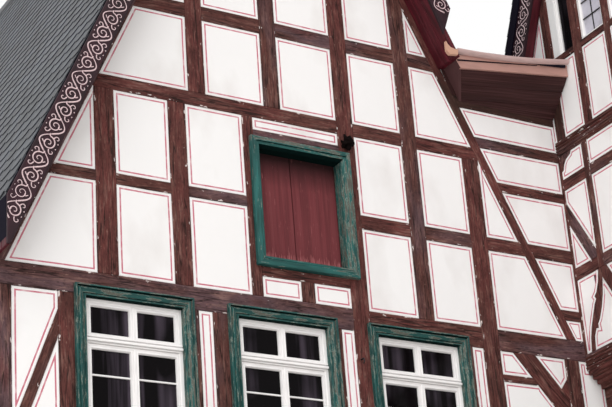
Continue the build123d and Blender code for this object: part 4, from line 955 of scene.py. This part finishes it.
def window_set():
    """Cased windows of every wall."""
    sizes = bpy.context.scene.house_sizes
    spots = openings("window_frames", "window_glass")
    low, high, _ = spots[0]
    half = max((high - low).x, (high - low).y) / 2
    tall = (high.z - low.z) / 2
    hole = (-half, -tall, half, tall)
    places = [at_opening(*spot) for spot in spots]
    flange = CASING_FLANGE
    casing = bmesh.new()
    outer = (-half - flange, -tall - flange, half + flange, tall + flange)
    moulded_frame(casing, outer, -0.030, CASING_SECTION)
    set_grain(casing, per_face=True)
    weathered(casing, half, tall)
    # The head's underside gets the painted shade
    sooted(casing, 0.0)
    casings = repeated(casing, places)
    piece(casings, "window_casings_moulded", ["green", "soot"], ["window_casings"])

    post = sum(step[0] for step in OUTER_FRAME_SECTION)
    mullion = 0.026
    transom_top = tall - 0.352
    transom_low = transom_top - 0.095
    back = 0.055
    joinery = bmesh.new()
    moulded_frame(joinery, hole, 0.060, OUTER_FRAME_SECTION)
    inner = (-half + post, -tall + post, half - post, tall - post)
    bar(joinery, (-mullion / 2, -0.002, transom_top), (mullion / 2, back, inner[3] + 0.002))
    bar(joinery, (-mullion / 2, -0.008, inner[1] - 0.002), (mullion / 2, back, transom_low))
    for rise, proud, tall_step in TRANSOM_STEPS:
        low_corner = (-half + 0.004, proud, transom_low + rise)
        bar(joinery, low_corner, (half - 0.004, back, transom_low + rise + tall_step), 0.004)
    sash = sizes.sash
    sash_section = ((0.000, 0.044), (0.004, 0.004), (sash - 0.012, 0.002), (0.008, -0.016), (0.0, -0.034))
    panes = []
    for left, right in ((inner[0], -mullion / 2), (mullion / 2, inner[2])):
        for bottom, top in ((inner[1], transom_low), (transom_top, inner[3])):
            moulded_frame(joinery, (left, bottom, right, top), 0.050, sash_section)
            panes.append((left + sash, bottom + sash, right - sash, top - sash))
            if bottom == inner[1]:
                level = top - sash - 0.25
                low_corner = (left + sash, 0.016, level)
                bar(joinery, low_corner, (right - sash, 0.034, level + sizes.glazing_bar), 0.003)
    set_grain(joinery, per_face=True)
    piece(repeated(joinery, places), "casement_windows", ["cream"], ["window_frames"])

    glazing = bmesh.new()
    for left, bottom, right, top in panes:
        bar(glazing, (left - 0.01, 0.030, bottom - 0.01), (right + 0.01, 0.034, top + 0.01), 0.001)
    piece(repeated(glazing, places), "casement_panes", ["glass"], ["window_glass"])


def wing_window_set():
    """Narrow windows of the side wing, with leaded panes in the gable's wider ones."""
    parts = {"joinery": [], "dark": [], "bright": [], "lead": []}
    for low, high, inward in openings("wing_window_frames", "wing_window_glass"):
        made = {kind: bmesh.new() for kind in parts}
        half = (high - low).y / 2
        tall = (high.z - low.z) / 2
        leaded = half > 0.15
        rail = 0.045 if leaded else 0.022
        section = ((0, 0.056), (0.004, 0.004), (rail - 0.016, 0.002), (0.012, -0.016), (0, -0.046))
        moulded_frame(made["joinery"], (-half, -tall, half, tall), 0.060, section)
        wide, high_half = half - rail, tall - rail
        pane = made["bright" if leaded else "dark"]
        bar(pane, (-wide, 0.030, -high_half), (wide, 0.034, high_half), 0.001)
        if leaded:
            columns = max(2, round(2 * wide / 0.16))
            rows = max(2, round(2 * high_half / 0.22))
            for column in range(1, columns):
                x = -wide + 2 * wide * column / columns
                bar(made["lead"], (x - 0.007, 0.021, -high_half), (x + 0.007, 0.030, high_half), 0.002)
            for row in range(1, rows):
                z = -high_half + 2 * high_half * row / rows
                bar(made["lead"], (-wide, 0.019, z - 0.007), (wide, 0.030, z + 0.007), 0.002)
        spot = at_opening(low, high, inward)
        for kind, bm in made.items():
            bmesh.ops.transform(bm, matrix=spot, verts=bm.verts)
            parts[kind].append(bm)
    joinery = joined(parts["joinery"])
    set_grain(joinery, per_face=True)
    piece(joinery, "wing_window_joinery", ["cream"], ["wing_window_frames"])
    piece(joined(parts["dark"]), "wing_window_dark_panes", ["glass"], ["wing_window_glass"])
    piece(joined(parts["bright"]), "wing_window_leaded_panes", ["sky_glass"])
    piece(joined(parts["lead"]), "wing_window_leads", ["iron"])


def slate_template(sizes):
    """One slate with rounded lower corners, lying flat, its head at the top."""
    bm = bmesh.new()
    half = sizes.slate_width / 2 - 0.002
    length_over = sizes.slate_course * 1.35
    squash = 0.6
    bmesh.ops.create_circle(bm, cap_ends=False, segments=12, radius=half)
    for vert in bm.verts:
        if vert.co.y > 0:
            vert.co.x = math.copysign(half, vert.co.x)
            vert.co.y = length_over
        else:
            vert.co.y = (vert.co.y + half) * squash
    bmesh.ops.remove_doubles(bm, verts=bm.verts, dist=0.02)
    face = bmesh.ops.contextual_create(bm, geom=bm.edges[:])["faces"]
    grown = bmesh.ops.extrude_face_region(bm, geom=face)["geom"]
    top = [g for g in grown if isinstance(g, bmesh.types.BMVert)]
    bmesh.ops.translate(bm, verts=top, vec=(0, 0, sizes.slate_thickness))
    bmesh.ops.recalc_face_normals(bm, faces=bm.faces)
    tilt = Matrix.Rotation(-math.atan(sizes.slate_thickness / sizes.slate_course), 4, "X")
    bmesh.ops.transform(bm, matrix=tilt, verts=bm.verts)
    bmesh.ops.translate(bm, verts=bm.verts, vec=(0, 0, sizes.slate_thickness * 1.4))
    return bm


def slated_area(corners, normal, template, sizes, shuffle):
    """Courses of slates over one flat convex part of a roof."""
    up = (UP - normal * normal.z).normalized()
    across = up.cross(normal)
    along_eave = [c.dot(across) for c in corners]
    up_slope = [c.dot(up) for c in corners]
    first = math.floor(min(along_eave) / sizes.slate_width) - 1
    count = math.ceil(max(along_eave) / sizes.slate_width) - first + 2
    first_course = math.floor(min(up_slope) / sizes.slate_course) - 1
    last_course = math.ceil(max(up_slope) / sizes.slate_course) + 1
    mesh = bpy.data.meshes.new("slate")
    template.to_mesh(mesh)
    holder = bpy.data.objects.new("slate", mesh)
    bpy.context.scene.collection.objects.link(holder)
    row = holder.modifiers.new("row", "ARRAY")
    row.count = count
    row.use_relative_offset = False
    row.use_constant_offset = True
    row.constant_offset_displace = (sizes.slate_width, 0, 0)
    graph = bpy.context.evaluated_depsgraph_get()
    line = bpy.data.meshes.new_from_object(holder.evaluated_get(graph))
    field = bmesh.new()
    for course in range(first_course, last_course):
        start = len(field.verts)
        field.from_mesh(line)
        field.verts.ensure_lookup_table()
        shift = ((first + course % 2 / 2) * sizes.slate_width, course * sizes.slate_course, 0)
        bmesh.ops.translate(field, verts=field.verts[start:], vec=shift)
    bpy.data.objects.remove(holder)
    for used in (mesh, line):
        bpy.data.meshes.remove(used)
    shade = field.loops.layers.float.new("tone")
    per_slate = len(template.faces)
    for number, face in enumerate(field.faces):
        if number % per_slate == 0:
            value = shuffle.random()
        for loop in face.loops:
            loop[shade] = value
    turn = Matrix((across, up, normal)).transposed().to_4x4()
    place = Matrix.Translation(normal * corners[0].dot(normal)) @ turn
    bmesh.ops.transform(field, matrix=place, verts=field.verts)
    middle = sum(corners, Vector()) / len(corners)
    for start, end in zip(corners, corners[1:] + corners[:1]):
        side = (end - start).cross(normal).normalized()
        trimmed(field, start, -side if side.dot(middle - start) > 0 else side)
    return field


def roof_planes(bm, least):
    """The sloping top faces of a roof, cut into convex parts, each with its normal."""
    level = [f for f in bm.faces if not 0.05 < f.normal.z < 0.99 or f.calc_area() < least]
    bmesh.ops.delete(bm, geom=level, context="FACES")
    planes = []
    for face in bm.faces:
        height = face.calc_center_median().dot(face.normal)
        known = [p for p in planes if (p[0] - face.normal).length < 0.01 and abs(p[1] - height) < 0.02]
        if not known:
            planes.append((face.normal.copy(), height))
    parts = []
    for normal, height in planes:
        plane = bm.copy()
        other = [
            f
            for f in plane.faces
            if (f.normal - normal).length > 0.01
            or abs(f.calc_center_median().dot(normal) - height) > 0.02
        ]
        bmesh.ops.delete(plane, geom=other, context="FACES")
        across = UP.cross(normal).normalized()
        for place in sorted({round(v.co.dot(across), 3) for v in plane.verts}):
            cut(plane, across * place, across)
        for face in plane.faces:
            if face.calc_area() > 0.01:
                parts.append(([v.co.copy() for v in face.verts], normal))
        plane.free()
    bm.free()
    return parts


def slated(name, source, least=0.25):
    """Slates over every slope of a roof that has at least an area."""
    sizes = bpy.context.scene.house_sizes
    shuffle = random.Random(name)
    template = slate_template(sizes)
    fields = [slated_area(*part, template, sizes, shuffle) for part in roof_planes(source, least)]
    template.free()
    piece(joined(fields), name, ["slate"])


def link_roof_set():
    """The link's roof, cut down so that it falls with its gutter, and its slates."""
    left, right, top = Vector((-1.53, -0.21, 10.93)), Vector((0, -0.33, 10.985)), Vector((-0.75, 0.33, 11.2))
    slope = (right - left).cross(top - left).normalized()
    slab = copied("link_roof")
    trimmed(slab, left, slope)
    slated("link_roof_slates", slab.copy(), 0.02)
    set_grain(slab)
    piece(slab, "link_roof_slab", ["slate"], ["link_roof"])


def scroll_strips(node):
    """Start, end and outward direction of each verge board's middle line."""
    bm = copied(node)
    found = []
    for group in islands(bm):
        faces = list(dict.fromkeys(f for v in group for f in v.link_faces))
        outer = [f for f in faces if min(f.normal.y, f.normal.x) < -FACING]
        front = max(outer, key=lambda f: f.calc_area())
        edges = sorted(front.edges, key=lambda e: -e.calc_length())[:2]
        ends = [sorted((v.co.copy() for v in e.verts), key=lambda p: p.z) for e in edges]
        start = (ends[0][0] + ends[1][0]) / 2
        end = (ends[0][1] + ends[1][1]) / 2
        found.append((start, end, front.normal.copy()))
    bm.free()
    return found


def brushed_line(routes):
    """Flat raised strokes that follow smooth lines drawn along X and Z, each with its half width."""
    data = bpy.data.curves.new("stroke", "CURVE")
    data.dimensions = "3D"
    data.bevel_depth = 1.0
    data.bevel_resolution = 0
    data.resolution_u = 3
    for half, route in routes:
        spline = data.splines.new("NURBS")
        spline.points.add(len(route) - 1)
        for index, (point, (x, z)) in enumerate(zip(spline.points, route)):
            point.co = (x, 0, z, 1)
            point.radius = half * (1 - 0.45 * index / (len(route) - 1))
        spline.order_u = 3
        spline.use_endpoint_u = True
        spline.use_cyclic_u = False
    data.use_fill_caps = True
    holder = bpy.data.objects.new("stroke", data)
    bpy.context.scene.collection.objects.link(holder)
    graph = bpy.context.evaluated_depsgraph_get()
    mesh = bpy.data.meshes.new_from_object(holder.evaluated_get(graph))
    bpy.data.objects.remove(holder)
    bm = bmesh.new()
    bm.from_mesh(mesh)
    bpy.data.meshes.remove(mesh)
    bmesh.ops.transform(bm, matrix=Matrix.Diagonal((1, 0.3, 1, 1)), verts=bm.verts)
    bmesh.ops.remove_doubles(bm, verts=bm.verts, dist=MERGE)
    bmesh.ops.recalc_face_normals(bm, faces=bm.faces)
    return bm


def scroll_motif(pitch, width):
    """One bay of running foliage: the stem's trough, a spiral in it, leaves and berries."""
    half = width / 2
    stem = [(pitch * (step / 8 - 0.5), -half * 0.92 * math.cos(math.pi * (step / 8 - 0.5))) for step in range(9)]
    turns = 1.55
    count = 15
    spiral = []
    for index in range(count):
        share = index / (count - 1)
        angle = share * turns * 2 * math.pi - 0.35
        radius = half * (0.78 - 0.66 * share)
        spiral.append((radius * math.cos(angle) * 1.05, radius * math.sin(angle) + half * 0.08))
    spiral.insert(0, (pitch * 0.5, -half * 0.1))
    leaves = []
    for flip in (1, -1):
        leaf = [(0.30, 0.35), (0.44, 0.42), (0.52, 0.66), (0.44, 0.88), (0.33, 0.84), (0.34, 0.70)]
        leaves.append([(flip * pitch * x, half * z) for x, z in leaf])
    tendril = [(0.02, -0.62), (-0.10, -0.45), (-0.06, -0.25), (0.04, -0.28)]
    leaves.append([(pitch * x, half * z) for x, z in tendril])
    berry = [(pitch * 0.14, half * 0.97), (pitch * 0.20, half * 0.99)]
    bud = [(-pitch * 0.16, half * 0.95), (-pitch * 0.10, half * 0.99)]
    strokes = [(0.0085, stem), (0.0075, spiral)]
    strokes += [(0.006, leaf) for leaf in leaves]
    strokes += [(0.007, berry), (0.006, bud)]
    return brushed_line(strokes)


def scrolled(name, node):
    """Verge boards with painted running foliage, whose bays face either side in turn."""
    sizes = bpy.context.scene.house_sizes
    timbered(name + "_boards", [node], "scroll_ground")
    spots = []
    for start, end, out in scroll_strips(node):
        along = (end - start).normalized()
        if node.startswith("right") and out.y < -FACING:
            start = start - along * sizes.scroll_pitch * 0.6
        count = max(1, round((end - start).length / sizes.scroll_pitch))
        stretch = (end - start).length / count / sizes.scroll_pitch
        side = out.cross(along)
        for index in range(count):
            place = start + (end - start) * (index + 0.5) / count + out * 0.001
            flip = 1 if index % 2 else -1
            turn = Matrix((along * stretch, -out, side * flip)).transposed().to_4x4()
            spots.append(Matrix.Translation(place) @ turn)
    whole = repeated(scroll_motif(sizes.scroll_pitch, sizes.scroll_width), spots)
    bmesh.ops.recalc_face_normals(whole, faces=whole.faces)
    piece(whole, name + "_scrolls", ["scroll"])


def coursed(name, nodes):
    """Plinths of dressed blocks, with the joints sunk."""
    sizes = bpy.context.scene.house_sizes
    shuffle = random.Random(name)
    parts = []
    for node in nodes:
        bm = copied(node)
        course = max(v.co.z for v in bm.verts) / sizes.stone_courses
        for index in range(1, sizes.stone_courses):
            cut(bm, UP * course * index, UP)
        for normal in (ACROSS, DEEP):
            reach = [v.co.dot(normal) for v in bm.verts]
            for index in range(sizes.stone_courses):
                place = min(reach) + sizes.stone_length * shuffle.uniform(0.4, 0.9)
                while place < max(reach) - sizes.stone_length / 4:
                    band = [
                        f
                        for f in bm.faces
                        if course * index < f.calc_center_median().z < course * (index + 1)
                        and abs(f.normal.z) < 0.5
                    ]
                    geometry = list(dict.fromkeys(g for f in band for g in (*f.verts, *f.edges, f)))
                    bmesh.ops.bisect_plane(
                        bm, geom=geometry, dist=MERGE, plane_co=normal * place, plane_no=normal
                    )
                    place += sizes.stone_length * shuffle.uniform(0.7, 1.3)
        shade = bm.loops.layers.float.new("tone")
        stones = [f for f in bm.faces if abs(f.normal.z) < 0.5]
        for face in stones:
            value = shuffle.random()
            for loop in face.loops:
                loop[shade] = value
        for depth in (0, sizes.stone_joint):
            bmesh.ops.inset_individual(
                bm, faces=stones, thickness=sizes.stone_joint, depth=depth, use_even_offset=True
            )
        parts.append(bm)
    return piece(joined(parts), name, ["stone"], nodes)


def hatch_set():
    """Attic hatch: a moulded frame and two leaves of boards."""
    low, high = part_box("hatch_frame")
    bm = bmesh.new()
    moulded_frame(bm, (low.x, low.z, high.x, high.z), 0.0, HATCH_SECTION)
    set_grain(bm, per_face=True)
    # The head's underside gets the painted shade
    sooted(bm, (low.z + high.z) / 2)
    piece(bm, "hatch_frame_moulded", ["hatch_green", "soot"], ["hatch_frame"])
    timbered("hatch_boards", ["hatch_leaves"], "hatch", 0.003)


def door_set():
    """Front door: framed oak leaf with four sunk panels, a lock plate and a lever."""
    timbered("door_frame_oak", ["door_frame"], "oak", 0.008)
    low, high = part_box("front_door")
    bm = copied("front_door")
    tall = high.z - low.z
    cut(bm, ACROSS * (low.x + high.x) / 2, ACROSS)
    for share in (0.36, 0.44):
        cut(bm, UP * (low.z + tall * share), UP)
    panels = [f for f in bm.faces if f.normal.y < -FACING and f.calc_area() > 0.15]
    for thickness, depth in ((0.09, 0), (0.02, -0.018), (0.05, 0.012)):
        bmesh.ops.inset_individual(
            bm, faces=panels, thickness=thickness, depth=depth, use_even_offset=True
        )
    set_grain(bm)
    piece(bm, "front_door_leaf", ["oak"], ["front_door"])
    lever = bmesh.new()
    grip = Vector((low.x + 0.09, low.y, low.z + 1.0))
    bar(lever, grip + Vector((-0.02, -0.006, -0.11)), grip + Vector((0.02, 0.002, 0.11)), 0.003)
    bar(lever, grip + Vector((-0.009, -0.05, -0.009)), grip + Vector((0.009, 0, 0.009)), 0.004)
    bar(lever, grip + Vector((-0.012, -0.058, -0.01)), grip + Vector((0.12, -0.042, 0.01)), 0.004)
    piece(lever, "front_door_lever", ["iron"])


def carved_knob_set():
    """Dark carved boss on the post beside the hatch, and the small hook on the post below it."""
    low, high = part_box("carved_knob")
    middle = (low + high) / 2
    radius = (high.x - low.x) * 0.58
    deep = high.y - low.y
    shape = [(0.0, 0.0), (0.30, 0.01), (0.52, 0.06), (0.60, 0.14), (0.50, 0.22), (0.74, 0.28)]
    shape += [(0.96, 0.40), (1.0, 0.52), (0.88, 0.62), (0.62, 0.68), (0.56, 0.76), (0.74, 0.84), (0.8, 1.0)]
    bm = bmesh.new()
    verts = [bm.verts.new((radius * r, low.y + deep * d, 0)) for r, d in shape]
    edges = [bm.edges.new(pair) for pair in zip(verts, verts[1:])]
    bmesh.ops.spin(
        bm, geom=[*verts, *edges], cent=(0, 0, 0), axis=DEEP, angle=2 * math.pi, steps=30, use_merge=True
    )
    bmesh.ops.remove_doubles(bm, verts=bm.verts, dist=MERGE)
    rim = [e for e in bm.edges if e.is_boundary]
    bmesh.ops.holes_fill(bm, edges=rim, sides=0)
    bmesh.ops.recalc_face_normals(bm, faces=bm.faces)
    lobes = 5
    for vert in bm.verts:
        angle = math.atan2(vert.co.z, vert.co.x)
        rough = noise.noise(vert.co / 0.03) * 0.4
        carved = 0.8 + 0.2 * math.cos(lobes * angle + 9 * vert.co.y / deep) + rough
        vert.co.x = vert.co.x * carved + middle.x
        vert.co.z = vert.co.z * carved * 1.1 + middle.z - 0.012
    set_grain(bm)
    piece(bm, "carved_knob_turned", ["knob"], ["carved_knob"], smooth=True)

    route = ((0.012, 0.0), (-0.030, 0.004), (-0.052, -0.006), (-0.054, -0.036), (-0.034, -0.048))
    hook = brushed_line([(0.012, route)])
    turn = Matrix(((0, 1, 0), (1, 0, 0), (0, 0, 1))).to_4x4()
    stretch = Matrix.Diagonal((1, 3, 1, 1))
    place = Matrix.Translation((-2.85, 0, 7.325)) @ turn @ stretch
    bmesh.ops.transform(hook, matrix=place, verts=hook.verts)
    bmesh.ops.recalc_face_normals(hook, faces=hook.faces)
    piece(hook, "post_hook", ["iron"])


def moulded_beams():
    """Rows of beads on the side wing's storey beams, and the stepped moulding under its jetty."""
    timbered("jetty_moulding_steps", ["jetty_moulding"], "timber", 0.012)
    bm = bmesh.new()
    bead = 0.014
    for low, high in boxes("wing_wall_beams"):
        if low.x > 0.1 or high.z - low.z > 0.2 or high.z > 12:
            continue
        level = low.z + 0.02
        while level < high.z - 0.02:
            bar(bm, (-bead, low.y + 0.02, level), (0.02, high.y - 0.02, level + 0.024), 0.009)
            level += 0.036
    set_grain(bm)
    piece(bm, "wing_beam_beads", ["timber"])


def eave_set():
    """The link's boxed eave: soffit boards, fascia with a tapering lath, the wine end board, and dark strips of
    painted shadow below the gutter and the lath.
    """
    timbered("link_soffit_boards", ["link_soffit"], "eave", 0.003, board=0.1, across=EAVE_ACROSS)
    bm = copied("link_box_boards")
    corner = min((v.co.dot(EAVE_ACROSS) for v in bm.verts))
    for vert in bm.verts:
        foot = 10.863 + 0.093 * vert.co.x
        if vert.co.dot(EAVE_ACROSS) < corner + 0.032 and vert.co.z < foot:
            vert.co.z = foot
    bevelled(bm, 0.004)
    set_grain(bm)
    for face in bm.faces:
        on_fascia = face.calc_center_median().dot(EAVE_ACROSS) < corner + 0.032
        face.material_index = 1 if on_fascia else 0
    piece(bm, "link_fascia_and_end_board", ["end_board", "fascia_tan"], ["link_box_boards"])
    # The last two strips are painted shadow: dark strips where the lath and the gutter shade the fascia
    strips = (
        ("fascia_lath", "fascia_tan", 0.014, ((-1.46, 10.92), (-0.3, 10.97), (-0.3, 10.945), (-1.44, 10.828))),
        ("lath_shadow_strip", "roof_edge", 0.006, ((-1.44, 10.84), (-0.4, 10.95), (-0.4, 10.926), (-1.436, 10.813))),
        ("gutter_shadow_strip", "roof_edge", 0.02, ((-1.46, 10.95), (-0.03, 11.02), (-0.03, 10.96), (-0.80, 10.91), (-1.42, 10.886))),
    )
    for name, finish_name, proud, outline in strips:
        places = [Vector((x, (corner - x * EAVE_ACROSS.x) / EAVE_ACROSS.y, z)) for x, z in outline]
        piece(sawn_strip(places, EAVE_ACROSS * -proud), name, [finish_name])
    foot = [Vector((x, 0, z)) for x, z in ((-1.53, 10.93), (-1.39, 10.93), (-1.27, 10.53), (-1.37, 10.53))]
    piece(sawn_strip(foot, DEEP * -0.012), "wall_cover_board", ["eave"])


def sawn_strip(outline, proud):
    """A thin strip over an outline, with worn edges: the eave's boards and laths, the flashing sheet and the
    dark strips of painted shadow.
    """
    strip = bmesh.new()
    strip.faces.new([strip.verts.new(place) for place in outline])
    grown = bmesh.ops.extrude_face_region(strip, geom=strip.faces[:])["geom"]
    bmesh.ops.translate(strip, verts=[g for g in grown if isinstance(g, bmesh.types.BMVert)], vec=proud)
    bmesh.ops.recalc_face_normals(strip, faces=strip.faces)
    bevelled(strip, 0.003)
    set_grain(strip)
    return strip


def gutter_set():
    """Half round gutter that sags along the eave, and the curved flashing at the verge's foot."""
    low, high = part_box("link_gutter")
    source = copied("link_gutter")
    ends = [corners_of([v for v in source.verts if abs(v.co.x - x) < MERGE * 100]) for x in (low.x, high.x)]
    source.free()
    left, right = [Vector((a.x, (a.y + b.y) / 2, b.z)) for a, b in ends]
    radius = (ends[0][1].y - ends[0][0].y) / 2
    depth = ends[0][1].z - ends[0][0].z
    sag, drop, spans = 0.034, 0.006, 16
    bm = bmesh.new()
    verts = bmesh.ops.create_circle(bm, cap_ends=False, segments=24, radius=radius)["verts"]
    upper = [v for v in verts if v.co.y > MERGE]
    bmesh.ops.delete(bm, geom=upper, context="VERTS")
    turn = Matrix(((0, 0, 1), (1, 0, 0), (0, 1, 0))).to_4x4()
    squash = Matrix.Diagonal((1, (depth - 0.008) / radius, 1, 1))
    bmesh.ops.transform(bm, matrix=Matrix.Translation(left) @ turn @ squash, verts=bm.verts)
    rim = bm.edges[:]
    for _ in range(spans):
        grown = bmesh.ops.extrude_edge_only(bm, edges=rim)["geom"]
        rim = [g for g in grown if isinstance(g, bmesh.types.BMEdge)]
        moved = [g for g in grown if isinstance(g, bmesh.types.BMVert)]
        bmesh.ops.translate(bm, verts=moved, vec=(right - left) / spans)
    for vert in bm.verts:
        share = (vert.co.x - left.x) / (right.x - left.x)
        vert.co.z -= drop + sag * 4 * share * (1 - share)
    bmesh.ops.recalc_face_normals(bm, faces=bm.faces)
    bmesh.ops.solidify(bm, geom=bm.faces[:], thickness=0.003)
    bmesh.ops.recalc_face_normals(bm, faces=bm.faces)
    piece(bm, "link_gutter_half_round", ["tan"], ["link_gutter"])

    outline = ((-1.642, 10.96), (-1.621, 10.922), (-1.585, 10.893), (-1.541, 10.883), (-1.49, 10.886))
    outline += ((-1.50, 10.819), (-1.61, 10.802), (-1.644, 10.844))
    sheet = sawn_strip([Vector((x, -0.36, z)) for x, z in outline], DEEP * 0.04)
    piece(sheet, "verge_foot_flashing", ["flashing"])


def photo_camera():
    """The camera at the photograph's viewpoint."""
    forward = Vector((math.sin(YAW) * math.cos(PITCH), math.cos(YAW) * math.cos(PITCH), math.sin(PITCH)))
    level = Vector((math.cos(YAW), -math.sin(YAW), 0))
    down = forward.cross(level)
    right = level * math.cos(ROLL) + down * math.sin(ROLL)
    below = -level * math.sin(ROLL) + down * math.cos(ROLL)
    data = bpy.data.cameras.new("camera")
    data.sensor_width = SENSOR
    data.lens = FOCAL_PIXELS * SENSOR / PHOTO_WIDTH
    data.clip_end = 500
    camera = bpy.data.objects.new("camera", data)
    turn = Matrix((right, -below, -forward)).transposed().to_4x4()
    camera.matrix_world = Matrix.Translation(EYE) @ turn
    bpy.context.scene.collection.objects.link(camera)
    bpy.context.scene.camera = camera


class HOUSE_OT_stage(bpy.types.Operator):
    """Set the pale floor, the soft light and the camera"""

    bl_idname = "house.stage"
    bl_label = "Stage"

    def execute(self, context):
        ground = new_material("pale_floor")
        shader = add(ground, "ShaderNodeBsdfDiffuse", {"Color": linear("#E4E2DF")})
        add(ground, "ShaderNodeOutputMaterial", {"Surface": shader})
        bm = bmesh.new()
        bmesh.ops.create_circle(bm, cap_ends=True, segments=64, radius=400)
        mesh = bpy.data.meshes.new("floor")
        bm.to_mesh(mesh)
        bm.free()
        mesh.materials.append(ground)
        floor = bpy.data.objects.new("floor", mesh)
        context.scene.collection.objects.link(floor)
        world = bpy.data.worlds.new("sky")
        world.use_nodes = True
        world.node_tree.nodes.clear()
        rays = [add(world, "ShaderNodeLightPath", output=kind) for kind in (0, 3, 6)]
        seen = add(world, MATHS, {0: rays[0], 1: rays[1]}, operation="MAXIMUM")
        seen = add(world, MATHS, {0: seen, 1: rays[2]}, operation="MAXIMUM")
        strength = add(world, "ShaderNodeMapRange", {"Value": seen, 3: WORLD_LIGHT, 4: 1.0})
        sky = add(world, "ShaderNodeBackground", {"Color": (1, 1, 1, 1), "Strength": strength})
        add(world, "ShaderNodeOutputWorld", {"Surface": sky})
        context.scene.world = world
        data = bpy.data.lights.new("soft_sun", "SUN")
        data.energy = SUN_LIGHT
        data.angle = SUN_SPREAD
        sun = bpy.data.objects.new("soft_sun", data)
        sun.rotation_euler = SUN_FALL.to_track_quat("-Z", "Y").to_euler()
        context.scene.collection.objects.link(sun)
        photo_camera()
        context.scene.view_settings.view_transform = "Standard"
        return {"FINISHED"}


class HOUSE_OT_timbers(bpy.types.Operator):
    """Dress the posts, beams, rails, braces and rafters"""

    bl_idname = "house.timbers"
    bl_label = "Timbers"

    def execute(self, context):
        for node in TIMBER_NODES:
            timbered(node + "_hewn", [node], "timber")
        moulded_beams()
        return {"FINISHED"}


class HOUSE_OT_panels(bpy.types.Operator):
    """Plaster the infill panels, paint their lines and finish the plain walls and floors"""

    bl_idname = "house.panels"
    bl_label = "Plaster Panels"

    def execute(self, context):
        for wall in ("front", "wing", "side"):
            plastered(wall + "_panels", wall + "_wall_infill")
        for node in ("front_party_wall", "wing_party_wall", "link_rear_wall"):
            refinished(node, "plaster")
        for node in ("front_floor_slabs", "wing_floor_slabs"):
            refinished(node, "boards")
        return {"FINISHED"}


class HOUSE_OT_windows(bpy.types.Operator):
    """Make the casings, casements and leaded panes"""

    bl_idname = "house.windows"
    bl_label = "Windows"

    def execute(self, context):
        window_set()
        wing_window_set()
        return {"FINISHED"}


class HOUSE_OT_doors(bpy.types.Operator):
    """Make the attic hatch, the front door, the carved knob and the hook"""

    bl_idname = "house.doors"
    bl_label = "Hatch and Door"

    def execute(self, context):
        hatch_set()
        door_set()
        carved_knob_set()
        return {"FINISHED"}


class HOUSE_OT_roofs(bpy.types.Operator):
    """Lay the slates and dress the ridges"""

    bl_idname = "house.roofs"
    bl_label = "Slate Roofs"

    def execute(self, context):
        for node in ROOF_NODES:
            slated(node + "_slates", copied(node))
            # The roof's edges take the dark navy that is partly painted shade
            refinished(node, "roof_edge")
        link_roof_set()
        refinished("ridge_caps", "slate")
        return {"FINISHED"}


class HOUSE_OT_verges(bpy.types.Operator):
    """Make the verge boards, boxed eave and gutter"""

    bl_idname = "house.verges"
    bl_label = "Verges and Eave"

    def execute(self, context):
        for side in ("right", "left"):
            planks = side + "_verge_planks"
            timbered(planks + "_planed", [planks], "wine", 0.006, board=0.12)
            scrolled(side + "_verge", side + "_scroll_boards")
        eave_set()
        gutter_set()
        return {"FINISHED"}


class HOUSE_OT_plinths(bpy.types.Operator):
    """Cut the plinths into dressed stones"""

    bl_idname = "house.plinths"
    bl_label = "Plinths"

    def execute(self, context):
        coursed("plinth_stones", ["cross_plinths", "long_plinths"])
        return {"FINISHED"}


OPERATORS = (
    HOUSE_OT_stage,
    HOUSE_OT_timbers,
    HOUSE_OT_panels,
    HOUSE_OT_windows,
    HOUSE_OT_doors,
    HOUSE_OT_roofs,
    HOUSE_OT_verges,
    HOUSE_OT_plinths,
)


class HOUSE_PT_sidebar(bpy.types.Panel):
    """Sizes, colours and parts of the house"""

    bl_idname = "HOUSE_PT_sidebar"
    bl_label = "Half Timbered House"
    bl_space_type = "VIEW_3D"
    bl_region_type = "UI"
    bl_category = "House"

    def draw(self, context):
        for group in (context.scene.house_sizes, context.scene.house_colours):
            box = self.layout.box()
            for name in group.bl_rna.properties.keys():
                if name not in ("rna_type", "name"):
                    box.prop(group, name)
        for operator in OPERATORS:
            self.layout.operator(operator.bl_idname)


def register():
    for kind in (HouseSizes, HouseColours, *OPERATORS, HOUSE_PT_sidebar):
        bpy.utils.register_class(kind)
    bpy.types.Scene.house_sizes = PointerProperty(type=HouseSizes)
    bpy.types.Scene.house_colours = PointerProperty(type=HouseColours)


def unregister():
    del bpy.types.Scene.house_sizes
    del bpy.types.Scene.house_colours
    for kind in reversed((HouseSizes, HouseColours, *OPERATORS, HOUSE_PT_sidebar)):
        bpy.utils.unregister_class(kind)


def main():
    """Dresses the house."""
    register()
    for operator in OPERATORS:
        group, name = operator.bl_idname.split(".")
        getattr(getattr(bpy.ops, group), name)()


if __name__ == "__main__":
    main()
